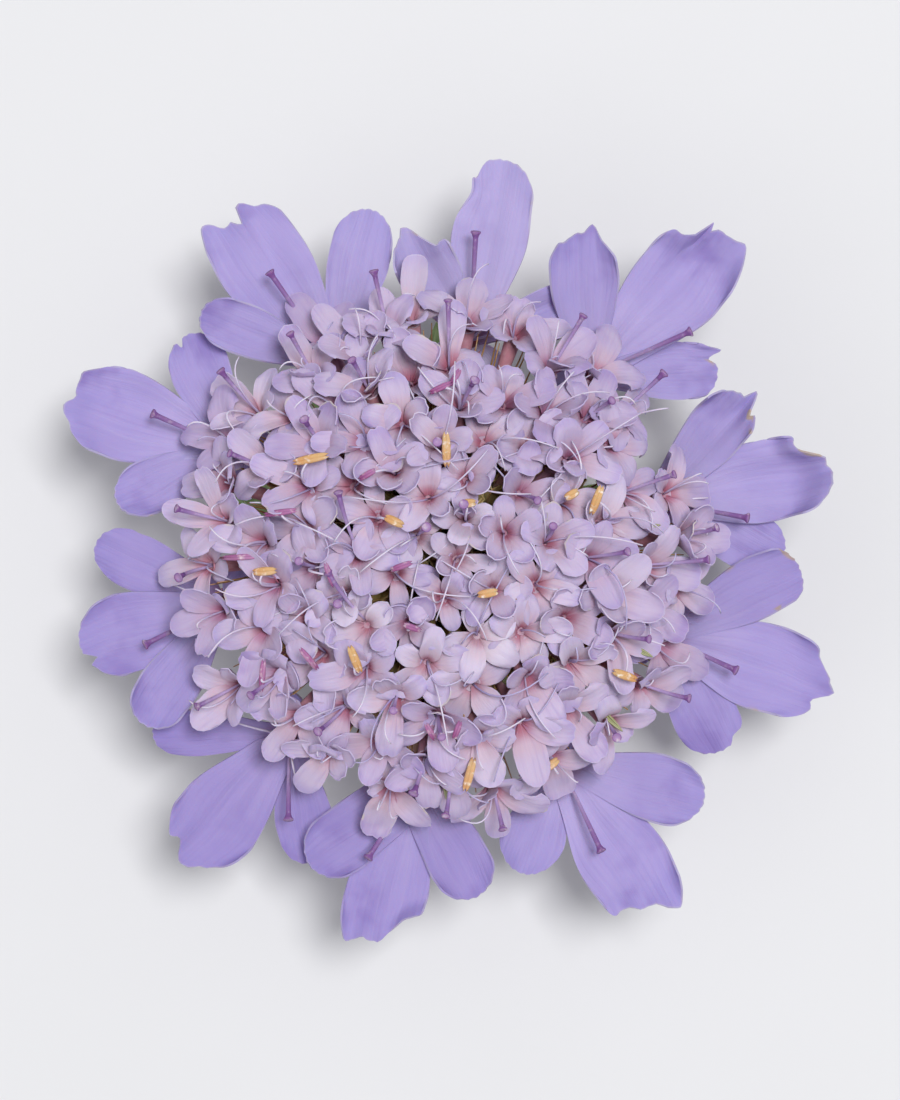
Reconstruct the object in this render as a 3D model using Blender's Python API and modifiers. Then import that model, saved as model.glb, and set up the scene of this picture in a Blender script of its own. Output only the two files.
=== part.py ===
"""A picked scabiosa flower head, standing face up on its short cut stem.

Metres, +Z up. The origin lies on the surface that the flower stands on, under the middle of its box.
Azimuths are in degrees, anticlockwise from +X as seen from above.

Ten large ray florets ring a dome of small disc florets. All of them grow from a short knob, the
receptacle, which also carries the green bracts. Each floret is a tube that opens into five lobes.
"""

import math
import random
from dataclasses import dataclass

import bmesh
import bpy
from mathutils import Matrix, Vector

MM = 0.001
SEED = 23
GAP = 0.3 * MM
MERGE = 0.0001 * MM
FLAT_ANGLE = math.radians(1.5)

# The middle of the head, beside the middle of the box of its uneven rays
HEAD_CENTRE = Vector((-0.6, -0.3, 0.0)) * MM

STEM_HEIGHT = 6.3 * MM
STEM_RADIUS = 1.15 * MM
STEM_NECK_RADIUS = 1.0 * MM
STEM_TOP_RADIUS = 1.5 * MM

RECEPTACLE_RADIUS = 4.0 * MM
RECEPTACLE_TOP = 10.2 * MM

BRACT_COUNT = 10
BRACT_WIDTH = 3.0 * MM
BRACT_REACH = 14.8 * MM
BRACT_SHORTER = 1.6 * MM
BRACT_ROOT_RADIUS = 3.0 * MM
BRACT_ROOT_HEIGHT = 7.6 * MM
BRACT_CREST_HEIGHT = 8.2 * MM
BRACT_TIP_HEIGHT = 0.16 * MM
BRACT_BROADEST = 0.4
BRACT_TROUGH = 0.16 * MM

BLADE_THICKNESS = 0.6 * MM

# A lobe's claw, its narrow root, and shares of its length or width
LOBE_CLAW = 0.4 * MM
LOBE_CLAW_BREADTH = 0.3
LOBE_BROADEST = 0.7
LOBE_TAPER = 0.68
LOBE_ROUNDING = 0.09
LOBE_TROUGH = 0.2 * MM
LOBE_RIPPLE = 0.2 * MM
INNER_LOBE_TURN = 145.0

RAY_FOOT_HEIGHT = 9.5 * MM
RAY_THROAT_HEIGHT = 11.2 * MM
RAY_THROAT_RADIUS = 1.2 * MM

DISC_RADIUS = 12.5 * MM
DISC_RIM_HEIGHT = 12.8 * MM
DISC_RISE = 7.2 * MM
DISC_FLORET_COUNT = 44
DISC_TILT = 48.0
DISC_TUBE_LENGTH = 4.4 * MM
DISC_TUBE_RADIUS = 0.55 * MM
DISC_LOBE_REACH = 1.85 * MM
DISC_LOBE_GROWTH = 0.45 * MM
DISC_OUTER_STRETCH = 0.32
DISC_NOTCH_DEPTH = 0.55
DISC_CUP = 0.6 * MM
DISC_THROAT_RADIUS = 0.55 * MM
DISC_THROAT_DEPTH = 0.9 * MM
GOLDEN_ANGLE = 137.508

STYLE_RADIUS = 0.24 * MM
STYLE_ROOT = 1.2 * MM
STIGMA_RADIUS = 0.45 * MM
STIGMA_LENGTH = 0.7 * MM
FILAMENT_RADIUS = 0.2 * MM
ANTHER_LENGTH = 2.1 * MM
ANTHER_RADIUS = 0.36 * MM


@dataclass(frozen=True)
class Lobe:
    """One large lobe of a ray floret, seen from its throat.

    The length, width and lift of the tip are in millimetres. The turn is in degrees from straight
    out, positive to the left.
    """

    length: float
    turn: float
    width: float
    lift: float


@dataclass(frozen=True)
class RayFloret:
    """One ray floret: where its throat lies, its three large lobes and how its style points."""

    azimuth: float
    reach: float
    middle: Lobe
    left: Lobe
    right: Lobe
    style_length: float
    style_turn: float


# Clockwise from the top of the head. A left lobe lies over the right lobe of the next floret,
# but for the seventh, whose left lobe lies under its neighbour.
RAY_FLORETS = (
    RayFloret(
        82, 12.8, Lobe(10.7, -2, 4.4, 0.7), Lobe(7.3, 36, 3.4, 1.5), Lobe(7.1, -60, 2.4, -0.4), 5.9, 5,
    ),
    RayFloret(
        50, 13.8, Lobe(11.5, -8, 4.7, 0.6), Lobe(8.6, 40, 3.9, 1.5), Lobe(7.5, -44, 2.9, -0.4), 6.0, -27,
    ),
    RayFloret(
        14, 13.1, Lobe(10.4, -7, 4.6, 0.8), Lobe(8.4, 34, 3.5, 1.6), Lobe(8.3, -36, 2.9, -0.4), 5.1, -25,
    ),
    RayFloret(
        -20, 14.0, Lobe(10.2, 2, 4.7, 0.5), Lobe(8.7, 43, 3.2, 1.4), Lobe(7.5, -41, 3.5, -0.4), 4.3, -5,
    ),
    RayFloret(
        -60, 14.2, Lobe(10.0, 2, 4.4, 0.6), Lobe(8.6, 48, 4.1, 1.4), Lobe(6.7, -43, 3.5, -0.3), 5.2, -5,
    ),
    RayFloret(
        -96, 13.6, Lobe(9.4, -11, 4.8, 0.4), Lobe(7.3, 30, 3.4, 1.3), Lobe(7.9, -44, 3.2, 1.4), 4.7, -28,
    ),
    RayFloret(
        -130, 13.8, Lobe(9.4, 8, 4.7, 0.7), Lobe(7.5, 43, 3.2, -0.5), Lobe(8.1, -51, 2.6, -0.5), 4.6, 41,
    ),
    RayFloret(
        -167, 13.0, Lobe(8.5, 2, 4.4, 0.6), Lobe(8.4, 40, 3.4, 1.4), Lobe(8.3, -37, 2.9, -0.4), 4.8, 14,
    ),
    RayFloret(
        153, 13.7, Lobe(10.0, 11, 5.0, 0.7), Lobe(7.2, 45, 2.5, 1.3), Lobe(7.2, -42, 3.5, -0.4), 4.7, 3,
    ),
    RayFloret(
        119, 12.8, Lobe(10.1, 5, 5.2, 0.6), Lobe(8.3, 40, 2.6, 1.5), Lobe(9.3, -39, 3.4, -0.3), 6.2, 6,
    ),
)


def clear_scene():
    """Removes what a new file holds."""
    for thing in list(bpy.data.objects):
        bpy.data.objects.remove(thing, do_unlink=True)


def make_collection(name):
    """Returns a new collection in the scene."""
    collection = bpy.data.collections.new(name)
    bpy.context.scene.collection.children.link(collection)
    return collection


def make_material(name, colour, roughness):
    """Returns a Principled material of one plain colour."""
    material = bpy.data.materials.new(name)
    material.use_nodes = True
    shader = next(n for n in material.node_tree.nodes if n.type == "BSDF_PRINCIPLED")
    shader.inputs["Base Color"].default_value = (*colour, 1.0)
    shader.inputs["Roughness"].default_value = roughness
    shader.inputs["Metallic"].default_value = 0.0
    return material


def object_from(bm, name, collection):
    """Turns a bmesh into an object and returns it."""
    mesh = bpy.data.meshes.new(name)
    bm.to_mesh(mesh)
    bm.free()
    thing = bpy.data.objects.new(name, mesh)
    collection.objects.link(thing)
    return thing


def smoothstep(t):
    """Eases from 0 to 1 as t goes from 0 to 1, and stays there."""
    t = min(max(t, 0.0), 1.0)
    return t * t * (3.0 - 2.0 * t)


def direction(azimuth):
    """Returns the level unit vector at an azimuth in degrees."""
    angle = math.radians(azimuth)
    return Vector((math.cos(angle), math.sin(angle), 0.0))


def make_blade(name, surface, steps_along, steps_across, collection):
    """Makes a thin blade: a flat grid, bent by surface(along, across) and given its thickness.

    along runs from 0 at the root to 1 at the tip, and across from -1 to 1.
    """
    bm = bmesh.new()
    bmesh.ops.create_grid(bm, x_segments=steps_along, y_segments=steps_across, size=0.5)
    bmesh.ops.triangulate(bm, faces=bm.faces)
    for vertex in bm.verts:
        vertex.co = surface(vertex.co.x + 0.5, 2.0 * vertex.co.y)
    blade = object_from(bm, name, collection)
    thickness = blade.modifiers.new("Thickness", "SOLIDIFY")
    thickness.thickness = BLADE_THICKNESS
    thickness.offset = 0.0
    blade.modifiers.new("Flat faces", "TRIANGULATE")
    return blade


def make_rod(name, points, radii, sides_step, collection):
    """Makes a closed round rod along a poly line, with its own radius at each point."""
    curve = bpy.data.curves.new(name, "CURVE")
    curve.dimensions = "3D"
    curve.bevel_depth = 1.0
    curve.bevel_resolution = sides_step
    curve.use_fill_caps = True
    line = curve.splines.new("POLY")
    line.points.add(len(points) - 1)
    for point, place, radius in zip(line.points, points, radii):
        point.co = (*place, 1.0)
        point.radius = radius
    guide = bpy.data.objects.new(name, curve)
    collection.objects.link(guide)
    bpy.context.view_layer.update()
    mesh = bpy.data.meshes.new_from_object(guide.evaluated_get(bpy.context.evaluated_depsgraph_get()))
    bpy.data.objects.remove(guide, do_unlink=True)
    bm = bmesh.new()
    bm.from_mesh(mesh)
    bpy.data.meshes.remove(mesh)
    bmesh.ops.remove_doubles(bm, verts=bm.verts, dist=MERGE)
    bmesh.ops.triangulate(bm, faces=bm.faces)
    return object_from(bm, name, collection)


def make_bead(name, centre, axis, length, radius, collection):
    """Makes a small rounded body, long along its axis, for a stigma or an anther."""
    bm = bmesh.new()
    bmesh.ops.create_icosphere(bm, subdivisions=1, radius=1.0)
    bmesh.ops.scale(bm, verts=bm.verts, vec=(radius, radius, length / 2.0))
    bmesh.ops.transform(bm, verts=bm.verts, matrix=frame_at(centre, axis))
    return object_from(bm, name, collection)


def frame_at(place, axis):
    """Returns the matrix that moves +Z onto the axis and the origin to the place."""
    return Matrix.Translation(place) @ axis.to_track_quat("Z", "Y").to_matrix().to_4x4()


def turned(name, profile, steps, collection):
    """Makes a round solid by turning a profile of (radius, height) pairs about +Z."""
    mesh = bpy.data.meshes.new(name)
    mesh.from_pydata([(r, 0.0, z) for r, z in profile], [(i, i + 1) for i in range(len(profile) - 1)], [])
    thing = bpy.data.objects.new(name, mesh)
    collection.objects.link(thing)
    screw = thing.modifiers.new("Turn", "SCREW")
    screw.steps = steps
    screw.render_steps = steps
    screw.use_merge_vertices = True
    screw.merge_threshold = MERGE
    return thing


def join_all(base, pieces):
    """Joins every object of a collection to the base by one Boolean union, and removes them.

    The exact solver leaves edges with three or more faces in a few ray florets, so the manifold
    solver joins them all.
    """
    union = base.modifiers.new("Union", "BOOLEAN")
    union.operation = "UNION"
    union.operand_type = "COLLECTION"
    union.collection = pieces
    union.solver = "MANIFOLD"
    bpy.context.view_layer.update()
    joined = bpy.data.meshes.new_from_object(base.evaluated_get(bpy.context.evaluated_depsgraph_get()))
    base.modifiers.clear()
    base.data = joined
    for piece in list(pieces.objects):
        bpy.data.objects.remove(piece, do_unlink=True)
    bpy.data.collections.remove(pieces)
    keep_largest_body(joined)
    return base


def keep_largest_body(mesh):
    """Welds almost touching corners after a union, drops loose scraps and merges flat faces."""
    bm = bmesh.new()
    bm.from_mesh(mesh)
    bmesh.ops.remove_doubles(bm, verts=bm.verts, dist=MERGE)
    unseen = set(bm.verts)
    largest = set()
    while unseen:
        queue = [unseen.pop()]
        body = set(queue)
        while queue:
            for edge in queue.pop().link_edges:
                for vertex in edge.verts:
                    if vertex in unseen:
                        unseen.discard(vertex)
                        body.add(vertex)
                        queue.append(vertex)
        if len(body) > len(largest):
            largest = body
    bmesh.ops.delete(bm, geom=[v for v in bm.verts if v not in largest], context="VERTS")
    bmesh.ops.dissolve_limit(bm, angle_limit=FLAT_ANGLE, verts=bm.verts, edges=bm.edges)
    bmesh.ops.triangulate(bm, faces=bm.faces)
    bm.to_mesh(mesh)
    bm.free()


def finish(thing, name, material, parts):
    """Names a finished piece, gives it its material and puts it with the parts."""
    thing.name = name
    thing.data.materials.clear()
    thing.data.materials.append(material)
    for collection in list(thing.users_collection):
        collection.objects.unlink(thing)
    parts.objects.link(thing)
    thing.data.shade_smooth()
    return thing


def make_stem(parts, helpers):
    """Makes the cut stem: a round stub, flat below, that widens towards the receptacle."""
    top = STEM_HEIGHT - GAP
    profile = [
        (0.0, top),
        (STEM_TOP_RADIUS, top),
        (STEM_TOP_RADIUS * 0.95, top * 0.86),
        (STEM_NECK_RADIUS, top * 0.62),
        (STEM_NECK_RADIUS, top * 0.3),
        (STEM_RADIUS, 0.0),
        (0.0, 0.0),
    ]
    stem = turned("Stem", profile, 16, helpers)
    stem.location = HEAD_CENTRE
    return finish(stem, "stem", make_material("Stem", (0.24, 0.33, 0.13), 0.6), parts)


def bract_height(t, tip_height):
    """Height of a bract's middle line: level at first, then falling to its tip by a cubic curve."""
    heights = (BRACT_ROOT_HEIGHT, BRACT_CREST_HEIGHT, BRACT_CREST_HEIGHT - 1.0 * MM, tip_height)
    weights = ((1 - t) ** 3, 3 * t * (1 - t) ** 2, 3 * t * t * (1 - t), t ** 3)
    return sum(w * h for w, h in zip(weights, heights))


def make_involucre(parts, helpers):
    """Makes the receptacle with its ring of bracts, which droop until their tips meet the surface."""
    draw = random.Random(SEED)
    profile = [
        (0.0, RECEPTACLE_TOP),
        (2.6 * MM, RECEPTACLE_TOP),
        (RECEPTACLE_RADIUS, RECEPTACLE_TOP - 0.5 * MM),
        (RECEPTACLE_RADIUS, 7.6 * MM),
        (3.3 * MM, 6.9 * MM),
        (STEM_TOP_RADIUS, STEM_HEIGHT),
        (0.0, STEM_HEIGHT),
    ]
    receptacle = turned("Receptacle", profile, 20, helpers)
    receptacle.location = HEAD_CENTRE
    bracts = make_collection("Bracts")
    for number in range(BRACT_COUNT):
        azimuth = 360.0 * (number + 0.5) / BRACT_COUNT + draw.uniform(-5.0, 5.0)
        out = direction(azimuth)
        side = Vector((-out.y, out.x, 0.0))
        reach = BRACT_REACH + draw.uniform(-0.5, 0.5) * MM
        tip_height = BRACT_TIP_HEIGHT
        if number % 2 == 1:
            reach -= BRACT_SHORTER
            tip_height += draw.uniform(0.8, 2.0) * MM

        def surface(along, across, out=out, side=side, reach=reach, tip_height=tip_height):
            spread = along * (1.3 - 0.3 * along)
            distance = BRACT_ROOT_RADIUS + (reach - BRACT_ROOT_RADIUS) * spread
            breadth = 0.6 + 0.4 * smoothstep(along / BRACT_BROADEST)
            if along > BRACT_BROADEST:
                breadth *= 1.0 - 0.8 * ((along - BRACT_BROADEST) / (1.0 - BRACT_BROADEST)) ** 1.5
            height = bract_height(along, tip_height) + BRACT_TROUGH * across * across
            sideways = across * breadth * BRACT_WIDTH / 2.0
            return HEAD_CENTRE + out * distance + side * sideways + Vector((0.0, 0.0, height))

        make_blade(f"Bract {number + 1}", surface, 5, 2, bracts)
    join_all(receptacle, bracts)
    return finish(receptacle, "involucre", make_material("Involucre", (0.25, 0.36, 0.15), 0.6), parts)


def lobe_surface(throat, azimuth, lobe, wave):
    """Returns the surface rule of a large lobe.

    It widens from a narrow claw to a broad blade with a rounded end, rises to its lift, and its
    edges wave up and down.
    """
    out = direction(azimuth + lobe.turn)
    side = Vector((-out.y, out.x, 0.0))

    def surface(along, across):
        distance = LOBE_CLAW + (lobe.length * MM - LOBE_CLAW) * along
        distance *= 1.0 - LOBE_ROUNDING * across * across * along
        breadth = LOBE_CLAW_BREADTH + (1.0 - LOBE_CLAW_BREADTH) * smoothstep(along / LOBE_BROADEST)
        if along > LOBE_BROADEST:
            breadth *= math.sqrt(1.0 - LOBE_TAPER * ((along - LOBE_BROADEST) / (1.0 - LOBE_BROADEST)) ** 2)
        height = lobe.lift * MM * along ** 1.5
        height += LOBE_TROUGH * across * across * (1.0 - along)
        height += LOBE_RIPPLE * across * along * math.sin(7.0 * along + wave)
        sideways = across * breadth * lobe.width * MM / 2.0
        return throat + out * distance + side * sideways + Vector((0.0, 0.0, height))

    return surface


def make_ray_floret(number, floret, material, parts, helpers):
    """Makes one ray floret: curved tube, three large lobes, two small inner ones and a style."""
    out = direction(floret.azimuth)
    up = Vector((0.0, 0.0, 1.0))
    reach = floret.reach * MM
    throat = HEAD_CENTRE + out * reach + up * RAY_THROAT_HEIGHT
    foot = HEAD_CENTRE + out * (RECEPTACLE_RADIUS + GAP) + up * RAY_FOOT_HEIGHT
    elbow = HEAD_CENTRE + out * (reach - 2.2 * MM) + up * (RAY_FOOT_HEIGHT + 0.1 * MM)
    tube_points = (foot, elbow, throat - out * 0.7 * MM - up * 0.8 * MM, throat + up * 0.15 * MM)
    tube_radii = (0.55 * MM, 0.65 * MM, 0.9 * MM, RAY_THROAT_RADIUS)
    tube = make_rod("Tube", tube_points, tube_radii, 1, helpers)

    pieces = make_collection("Ray pieces")
    wave = 1.7 * number
    for lobe, along in ((floret.middle, 5), (floret.left, 4), (floret.right, 4)):
        make_blade("Lobe", lobe_surface(throat, floret.azimuth, lobe, wave), along, 3, pieces)
        wave += 2.1
    for turn in (INNER_LOBE_TURN, -INNER_LOBE_TURN):
        inner = Lobe(2.2, turn, 1.8, 0.5)
        make_blade("Inner lobe", lobe_surface(throat, floret.azimuth, inner, 0.0), 2, 1, pieces)

    lean = direction(floret.azimuth + floret.style_turn)
    length = floret.style_length * MM
    style_points = (
        throat - up * 0.4 * MM,
        throat + lean * 0.5 * length + up * 0.8 * MM,
        throat + lean * length + up * 2.4 * MM,
    )
    make_rod("Style", style_points, (STYLE_RADIUS,) * 3, 0, pieces)
    axis = (style_points[2] - style_points[1]).normalized()
    make_bead("Stigma", style_points[2], axis, STIGMA_LENGTH, STIGMA_RADIUS, pieces)
    join_all(tube, pieces)
    return finish(tube, f"ray_floret_{number + 1:02d}", material, parts)


def disc_floret_place(index, draw):
    """Returns where a disc floret opens and along which axis, by the golden angle over the dome."""
    share = math.sqrt((index + 0.5) / DISC_FLORET_COUNT)
    out = direction(index * GOLDEN_ANGLE + draw.uniform(-4.0, 4.0))
    radius = DISC_RADIUS * share
    height = DISC_RIM_HEIGHT + DISC_RISE * math.sqrt(1.0 - 0.9 * share * share)
    height += draw.uniform(-0.35, 0.35) * MM
    tilt = math.radians(DISC_TILT * share ** 1.3 + draw.uniform(-6.0, 6.0))
    axis = out * math.sin(tilt) + Vector((0.0, 0.0, math.cos(tilt)))
    place = HEAD_CENTRE + out * radius + Vector((0.0, 0.0, height))
    return place, axis, out, share


def make_disc_floret(place, axis, out, share, spin, pieces):
    """Makes one disc floret: a solid funnel whose rim spreads into five blunt lobes.

    It is a sphere of five bands. From below, its rings are the foot, the underside of the lobes,
    their upper side and the rim of the throat, and its upper pole is the bottom of the throat.
    Outer florets have longer outer lobes.
    """
    bm = bmesh.new()
    points_per_lobe = 3 if share > 0.6 else 2
    bmesh.ops.create_uvsphere(bm, u_segments=5 * points_per_lobe, v_segments=5, radius=1.0)
    size = DISC_LOBE_REACH + DISC_LOBE_GROWTH * share
    outward = (out - axis * out.dot(axis)).normalized()
    sideways = axis.cross(outward)
    for vertex in bm.verts:
        angle = math.atan2(vertex.co.y, vertex.co.x) + spin
        level = round(math.acos(max(-1.0, min(1.0, -vertex.co.z))) / (math.pi / 5.0))
        notch = 0.5 + 0.5 * math.cos(5.0 * (angle - spin))
        longer = 1.0 + DISC_OUTER_STRETCH * share * max(0.0, math.cos(angle))
        outline = size * longer * (1.0 - DISC_NOTCH_DEPTH * notch)
        distance, height = (
            (0.0, -DISC_TUBE_LENGTH),
            (DISC_TUBE_RADIUS, -DISC_TUBE_LENGTH),
            (0.8 * outline, -BLADE_THICKNESS),
            (outline, DISC_CUP * (1.0 - notch)),
            (DISC_THROAT_RADIUS, -0.3 * DISC_THROAT_DEPTH),
            (0.0, -DISC_THROAT_DEPTH),
        )[level]
        away = outward * math.cos(angle) + sideways * math.sin(angle)
        vertex.co = place + away * distance + axis * height
    bmesh.ops.triangulate(bm, faces=bm.faces)
    return object_from(bm, "Disc floret", pieces)


def make_disc_florets(parts, helpers):
    """Makes the dome of disc florets on a smaller core, with styles and stamens."""
    draw = random.Random(SEED + 1)
    profile = [
        (0.0, 17.3 * MM),
        (4.0 * MM, 16.9 * MM),
        (7.5 * MM, 15.8 * MM),
        (9.7 * MM, 14.2 * MM),
        (10.2 * MM, 12.9 * MM),
        (9.3 * MM, 11.9 * MM),
        (3.4 * MM, RECEPTACLE_TOP + GAP),
        (0.0, RECEPTACLE_TOP + GAP),
    ]
    core = turned("Core", profile, 24, helpers)
    core.location = HEAD_CENTRE
    pieces = make_collection("Disc pieces")
    for index in range(DISC_FLORET_COUNT):
        place, axis, out, share = disc_floret_place(index, draw)
        spin = draw.uniform(0.0, 2.0 * math.pi)
        make_disc_floret(place, axis, out, share, spin, pieces)
        if index % 6 in (0, 3):
            tip = place + axis * (2.9 + 0.6 * draw.random()) * MM
            make_rod("Style", (place - axis * STYLE_ROOT, tip), (STYLE_RADIUS,) * 2, 0, pieces)
            make_bead("Stigma", tip, axis, STIGMA_LENGTH, STIGMA_RADIUS, pieces)
        elif index % 6 == 1:
            lean = direction(draw.uniform(0.0, 360.0))
            bend = place + axis * 1.6 * MM + lean * 0.4 * MM
            tip = place + axis * 2.6 * MM + lean * 1.6 * MM
            radii = (FILAMENT_RADIUS,) * 3
            make_rod("Filament", (place - axis * STYLE_ROOT, bend, tip), radii, 0, pieces)
            across = axis.cross(lean).normalized()
            make_bead("Anther", tip, across, ANTHER_LENGTH, ANTHER_RADIUS, pieces)
    join_all(core, pieces)
    return finish(core, "disc_florets", make_material("Disc florets", (0.60, 0.50, 0.68), 0.55), parts)


def main():
    """Builds the flower head from the stem up."""
    clear_scene()
    parts = make_collection("Scabiosa flower")
    helpers = make_collection("Helpers")
    make_stem(parts, helpers)
    make_involucre(parts, helpers)
    ray_material = make_material("Ray florets", (0.42, 0.36, 0.70), 0.55)
    for number, floret in enumerate(RAY_FLORETS):
        make_ray_floret(number, floret, ray_material, parts, helpers)
    make_disc_florets(parts, helpers)
    bpy.data.collections.remove(helpers)


main()
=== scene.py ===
"""The looks of a picked scabiosa flower head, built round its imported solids.

Metres, +Z up. The head stands face up on its short cut stem, +Y towards the top of the picture.
Azimuths are in degrees, anticlockwise from +X as seen from above.
"""
import logging
from dataclasses import dataclass, field
from enum import Enum
from typing import Sequence

import bmesh
import bpy
import numpy as np
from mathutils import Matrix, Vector


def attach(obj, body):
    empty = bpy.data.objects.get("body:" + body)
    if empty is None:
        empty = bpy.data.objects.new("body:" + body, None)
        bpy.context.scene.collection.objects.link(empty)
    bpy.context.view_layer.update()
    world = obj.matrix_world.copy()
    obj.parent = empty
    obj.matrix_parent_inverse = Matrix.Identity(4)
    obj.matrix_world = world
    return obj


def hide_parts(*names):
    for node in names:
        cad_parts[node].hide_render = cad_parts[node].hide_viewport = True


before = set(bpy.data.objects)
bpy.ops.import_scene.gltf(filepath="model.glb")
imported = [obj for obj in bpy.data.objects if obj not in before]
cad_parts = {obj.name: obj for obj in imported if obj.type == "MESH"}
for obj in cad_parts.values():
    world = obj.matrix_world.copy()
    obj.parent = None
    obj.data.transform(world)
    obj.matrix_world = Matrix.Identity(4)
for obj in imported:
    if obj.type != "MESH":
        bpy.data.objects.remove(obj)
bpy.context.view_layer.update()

Array = np.ndarray
Material = bpy.types.Material
Colour = tuple[float, float, float]

MM = 0.001
SEED = 41
GOLDEN_ANGLE = 137.508
LOG = logging.getLogger("scabiosa")

# Faces that meet at more than this angle, in radians, keep a crisp edge between them
RIM_ANGLE = 0.9

# Vertices closer than this become one when a piece is welded
WELD_DISTANCE = 0.001 * MM

# The middle of the head, beside the middle of the box of its uneven rays
HEAD_CENTRE = np.array((-0.6, -0.3, 0.0)) * MM
UP = np.array((0.0, 0.0, 1.0))

# A direction that no floret's axis shares, from which circles about the axes are started
LEANING = np.array((0.31, 0.17, 0.93))


def direction(azimuth: Array | float) -> Array:
    """Works out level unit vectors.

    Args:
        azimuth: Angles in degrees, anticlockwise from +X.

    Returns:
        An array with one more axis, of length 3.
    """
    angle = np.radians(np.asarray(azimuth, float))
    return np.stack((np.cos(angle), np.sin(angle), np.zeros_like(angle)), axis=-1)


def unit(vectors: Array) -> Array:
    """Returns the vectors scaled to length 1."""
    return vectors / np.maximum(np.linalg.norm(vectors, axis=-1, keepdims=True), 1e-12)


def smoothstep(t: Array) -> Array:
    """Eases from 0 to 1 as t goes from 0 to 1, by 3 t squared minus 2 t cubed."""
    t = np.clip(t, 0.0, 1.0)
    return t * t * (3.0 - 2.0 * t)


def bend(start: Array, middle: Array, end: Array, steps: int) -> Array:
    """Works out paths that leave start towards middle and come into end from it.

    The formula is the quadratic Bezier curve of the three points.

    Args:
        start: First points, (..., 3).
        middle: Points that pull the curves, (..., 3).
        end: Last points, (..., 3).
        steps: Points on each path.

    Returns:
        The paths, (..., steps, 3).
    """
    t = np.linspace(0.0, 1.0, steps)[:, None]
    a, b, c = (np.asarray(p, float)[..., None, :] for p in (start, middle, end))
    return a * (1.0 - t) ** 2 + b * (2.0 * t * (1.0 - t)) + c * t ** 2


def on_head(flat: Array, height: Array | float) -> Array:
    """Returns places by their level offset from the middle of the head and their height."""
    return HEAD_CENTRE + flat + UP * height


def rings(side: Array, other: Array, sides: int) -> Array:
    """Works out circles of radius 1.

    The point at angle q, which runs from 0 to minus a full turn, is cos q side + sin q other.

    Args:
        side: First direction of each circle, (..., 3).
        other: Second direction, square to the first.
        sides: Points on a circle.

    Returns:
        The circles, (..., sides, 3).
    """
    angle = -np.linspace(0.0, 2.0 * np.pi, sides, endpoint=False)[:, None]
    return np.cos(angle) * side[..., None, :] + np.sin(angle) * other[..., None, :]


@dataclass
class Patchwork:
    """Gathers grid surfaces and writes them into one mesh.

    Each vertex carries its place on its own surface, as (across, along), and its tone, which
    sets it a little lighter or darker than its neighbours.
    """

    places: list[Array] = field(default_factory=list)
    quads: list[Array] = field(default_factory=list)
    maps: list[Array] = field(default_factory=list)
    tones: list[Array] = field(default_factory=list)
    slots: list[Array] = field(default_factory=list)
    count: int = 0

    def add(
        self, grid: Array, tone: Array, along: Array | None = None, across: Array | None = None,
        slot: int = 0, closed: bool = False,
    ) -> None:
        """Adds surfaces of one grid size.

        Args:
            grid: Vertex places, (surfaces, rows, columns, 3), whose faces look along the cross
                product of the row direction and the column direction.
            tone: Tone of each surface, (surfaces,).
            along: Place of each row along the surface, from 0 to 1, even if not given.
            across: Place of each column across it, in the same way.
            slot: Material slot of the faces.
            closed: Whether the last column joins the first.
        """
        shape = grid.shape[:3]
        if along is None:
            along = np.linspace(0.0, 1.0, shape[1])
        if across is None:
            across = np.linspace(0.0, 1.0, shape[2], endpoint=not closed)
        index = np.arange(np.prod(shape)).reshape(shape) + self.count
        if closed:
            index = np.concatenate((index, index[:, :, :1]), axis=2)
        corners = (index[:, :-1, :-1], index[:, 1:, :-1], index[:, 1:, 1:], index[:, :-1, 1:])
        quads = np.stack(corners, axis=-1).reshape(-1, 4)
        place = np.stack([np.broadcast_to(a, shape) for a in (across, along[:, None])], axis=-1)
        self.places.append(grid.reshape(-1, 3))
        self.quads.append(quads)
        self.maps.append(place.reshape(-1, 2))
        self.tones.append(np.broadcast_to(np.asarray(tone)[:, None, None], shape).reshape(-1))
        self.slots.append(np.full(len(quads), slot))
        self.count += int(np.prod(shape))

    def write(self, name: str, materials: Sequence[Material], weld: bool) -> bpy.types.Object:
        """Writes the gathered surfaces as one object.

        Args:
            name: Name of the piece.
            materials: Its materials, in slot order.
            weld: Whether vertices in one place become one, which closes seams and poles.

        Returns:
            The new object, at the origin.
        """
        mesh = bpy.data.meshes.new(name)
        quads = np.concatenate(self.quads)
        mesh.from_pydata(np.concatenate(self.places), [], quads.tolist())
        mesh.polygons.foreach_set("material_index", np.concatenate(self.slots).astype(np.int32))
        uv = mesh.uv_layers.new(name="surface")
        corners = np.concatenate(self.maps)[quads.reshape(-1)]
        uv.data.foreach_set("uv", corners.astype(np.float32).reshape(-1))
        tone = mesh.attributes.new("tone", "FLOAT", "POINT")
        tone.data.foreach_set("value", np.concatenate(self.tones).astype(np.float32))
        if weld:
            bm = bmesh.new()
            bm.from_mesh(mesh)
            bmesh.ops.remove_doubles(bm, verts=bm.verts, dist=WELD_DISTANCE)
            bm.to_mesh(mesh)
            bm.free()
        mesh.shade_smooth()
        for material in materials:
            mesh.materials.append(material)
        piece = bpy.data.objects.new(name, mesh)
        bpy.context.scene.collection.objects.link(piece)
        return piece


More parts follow.
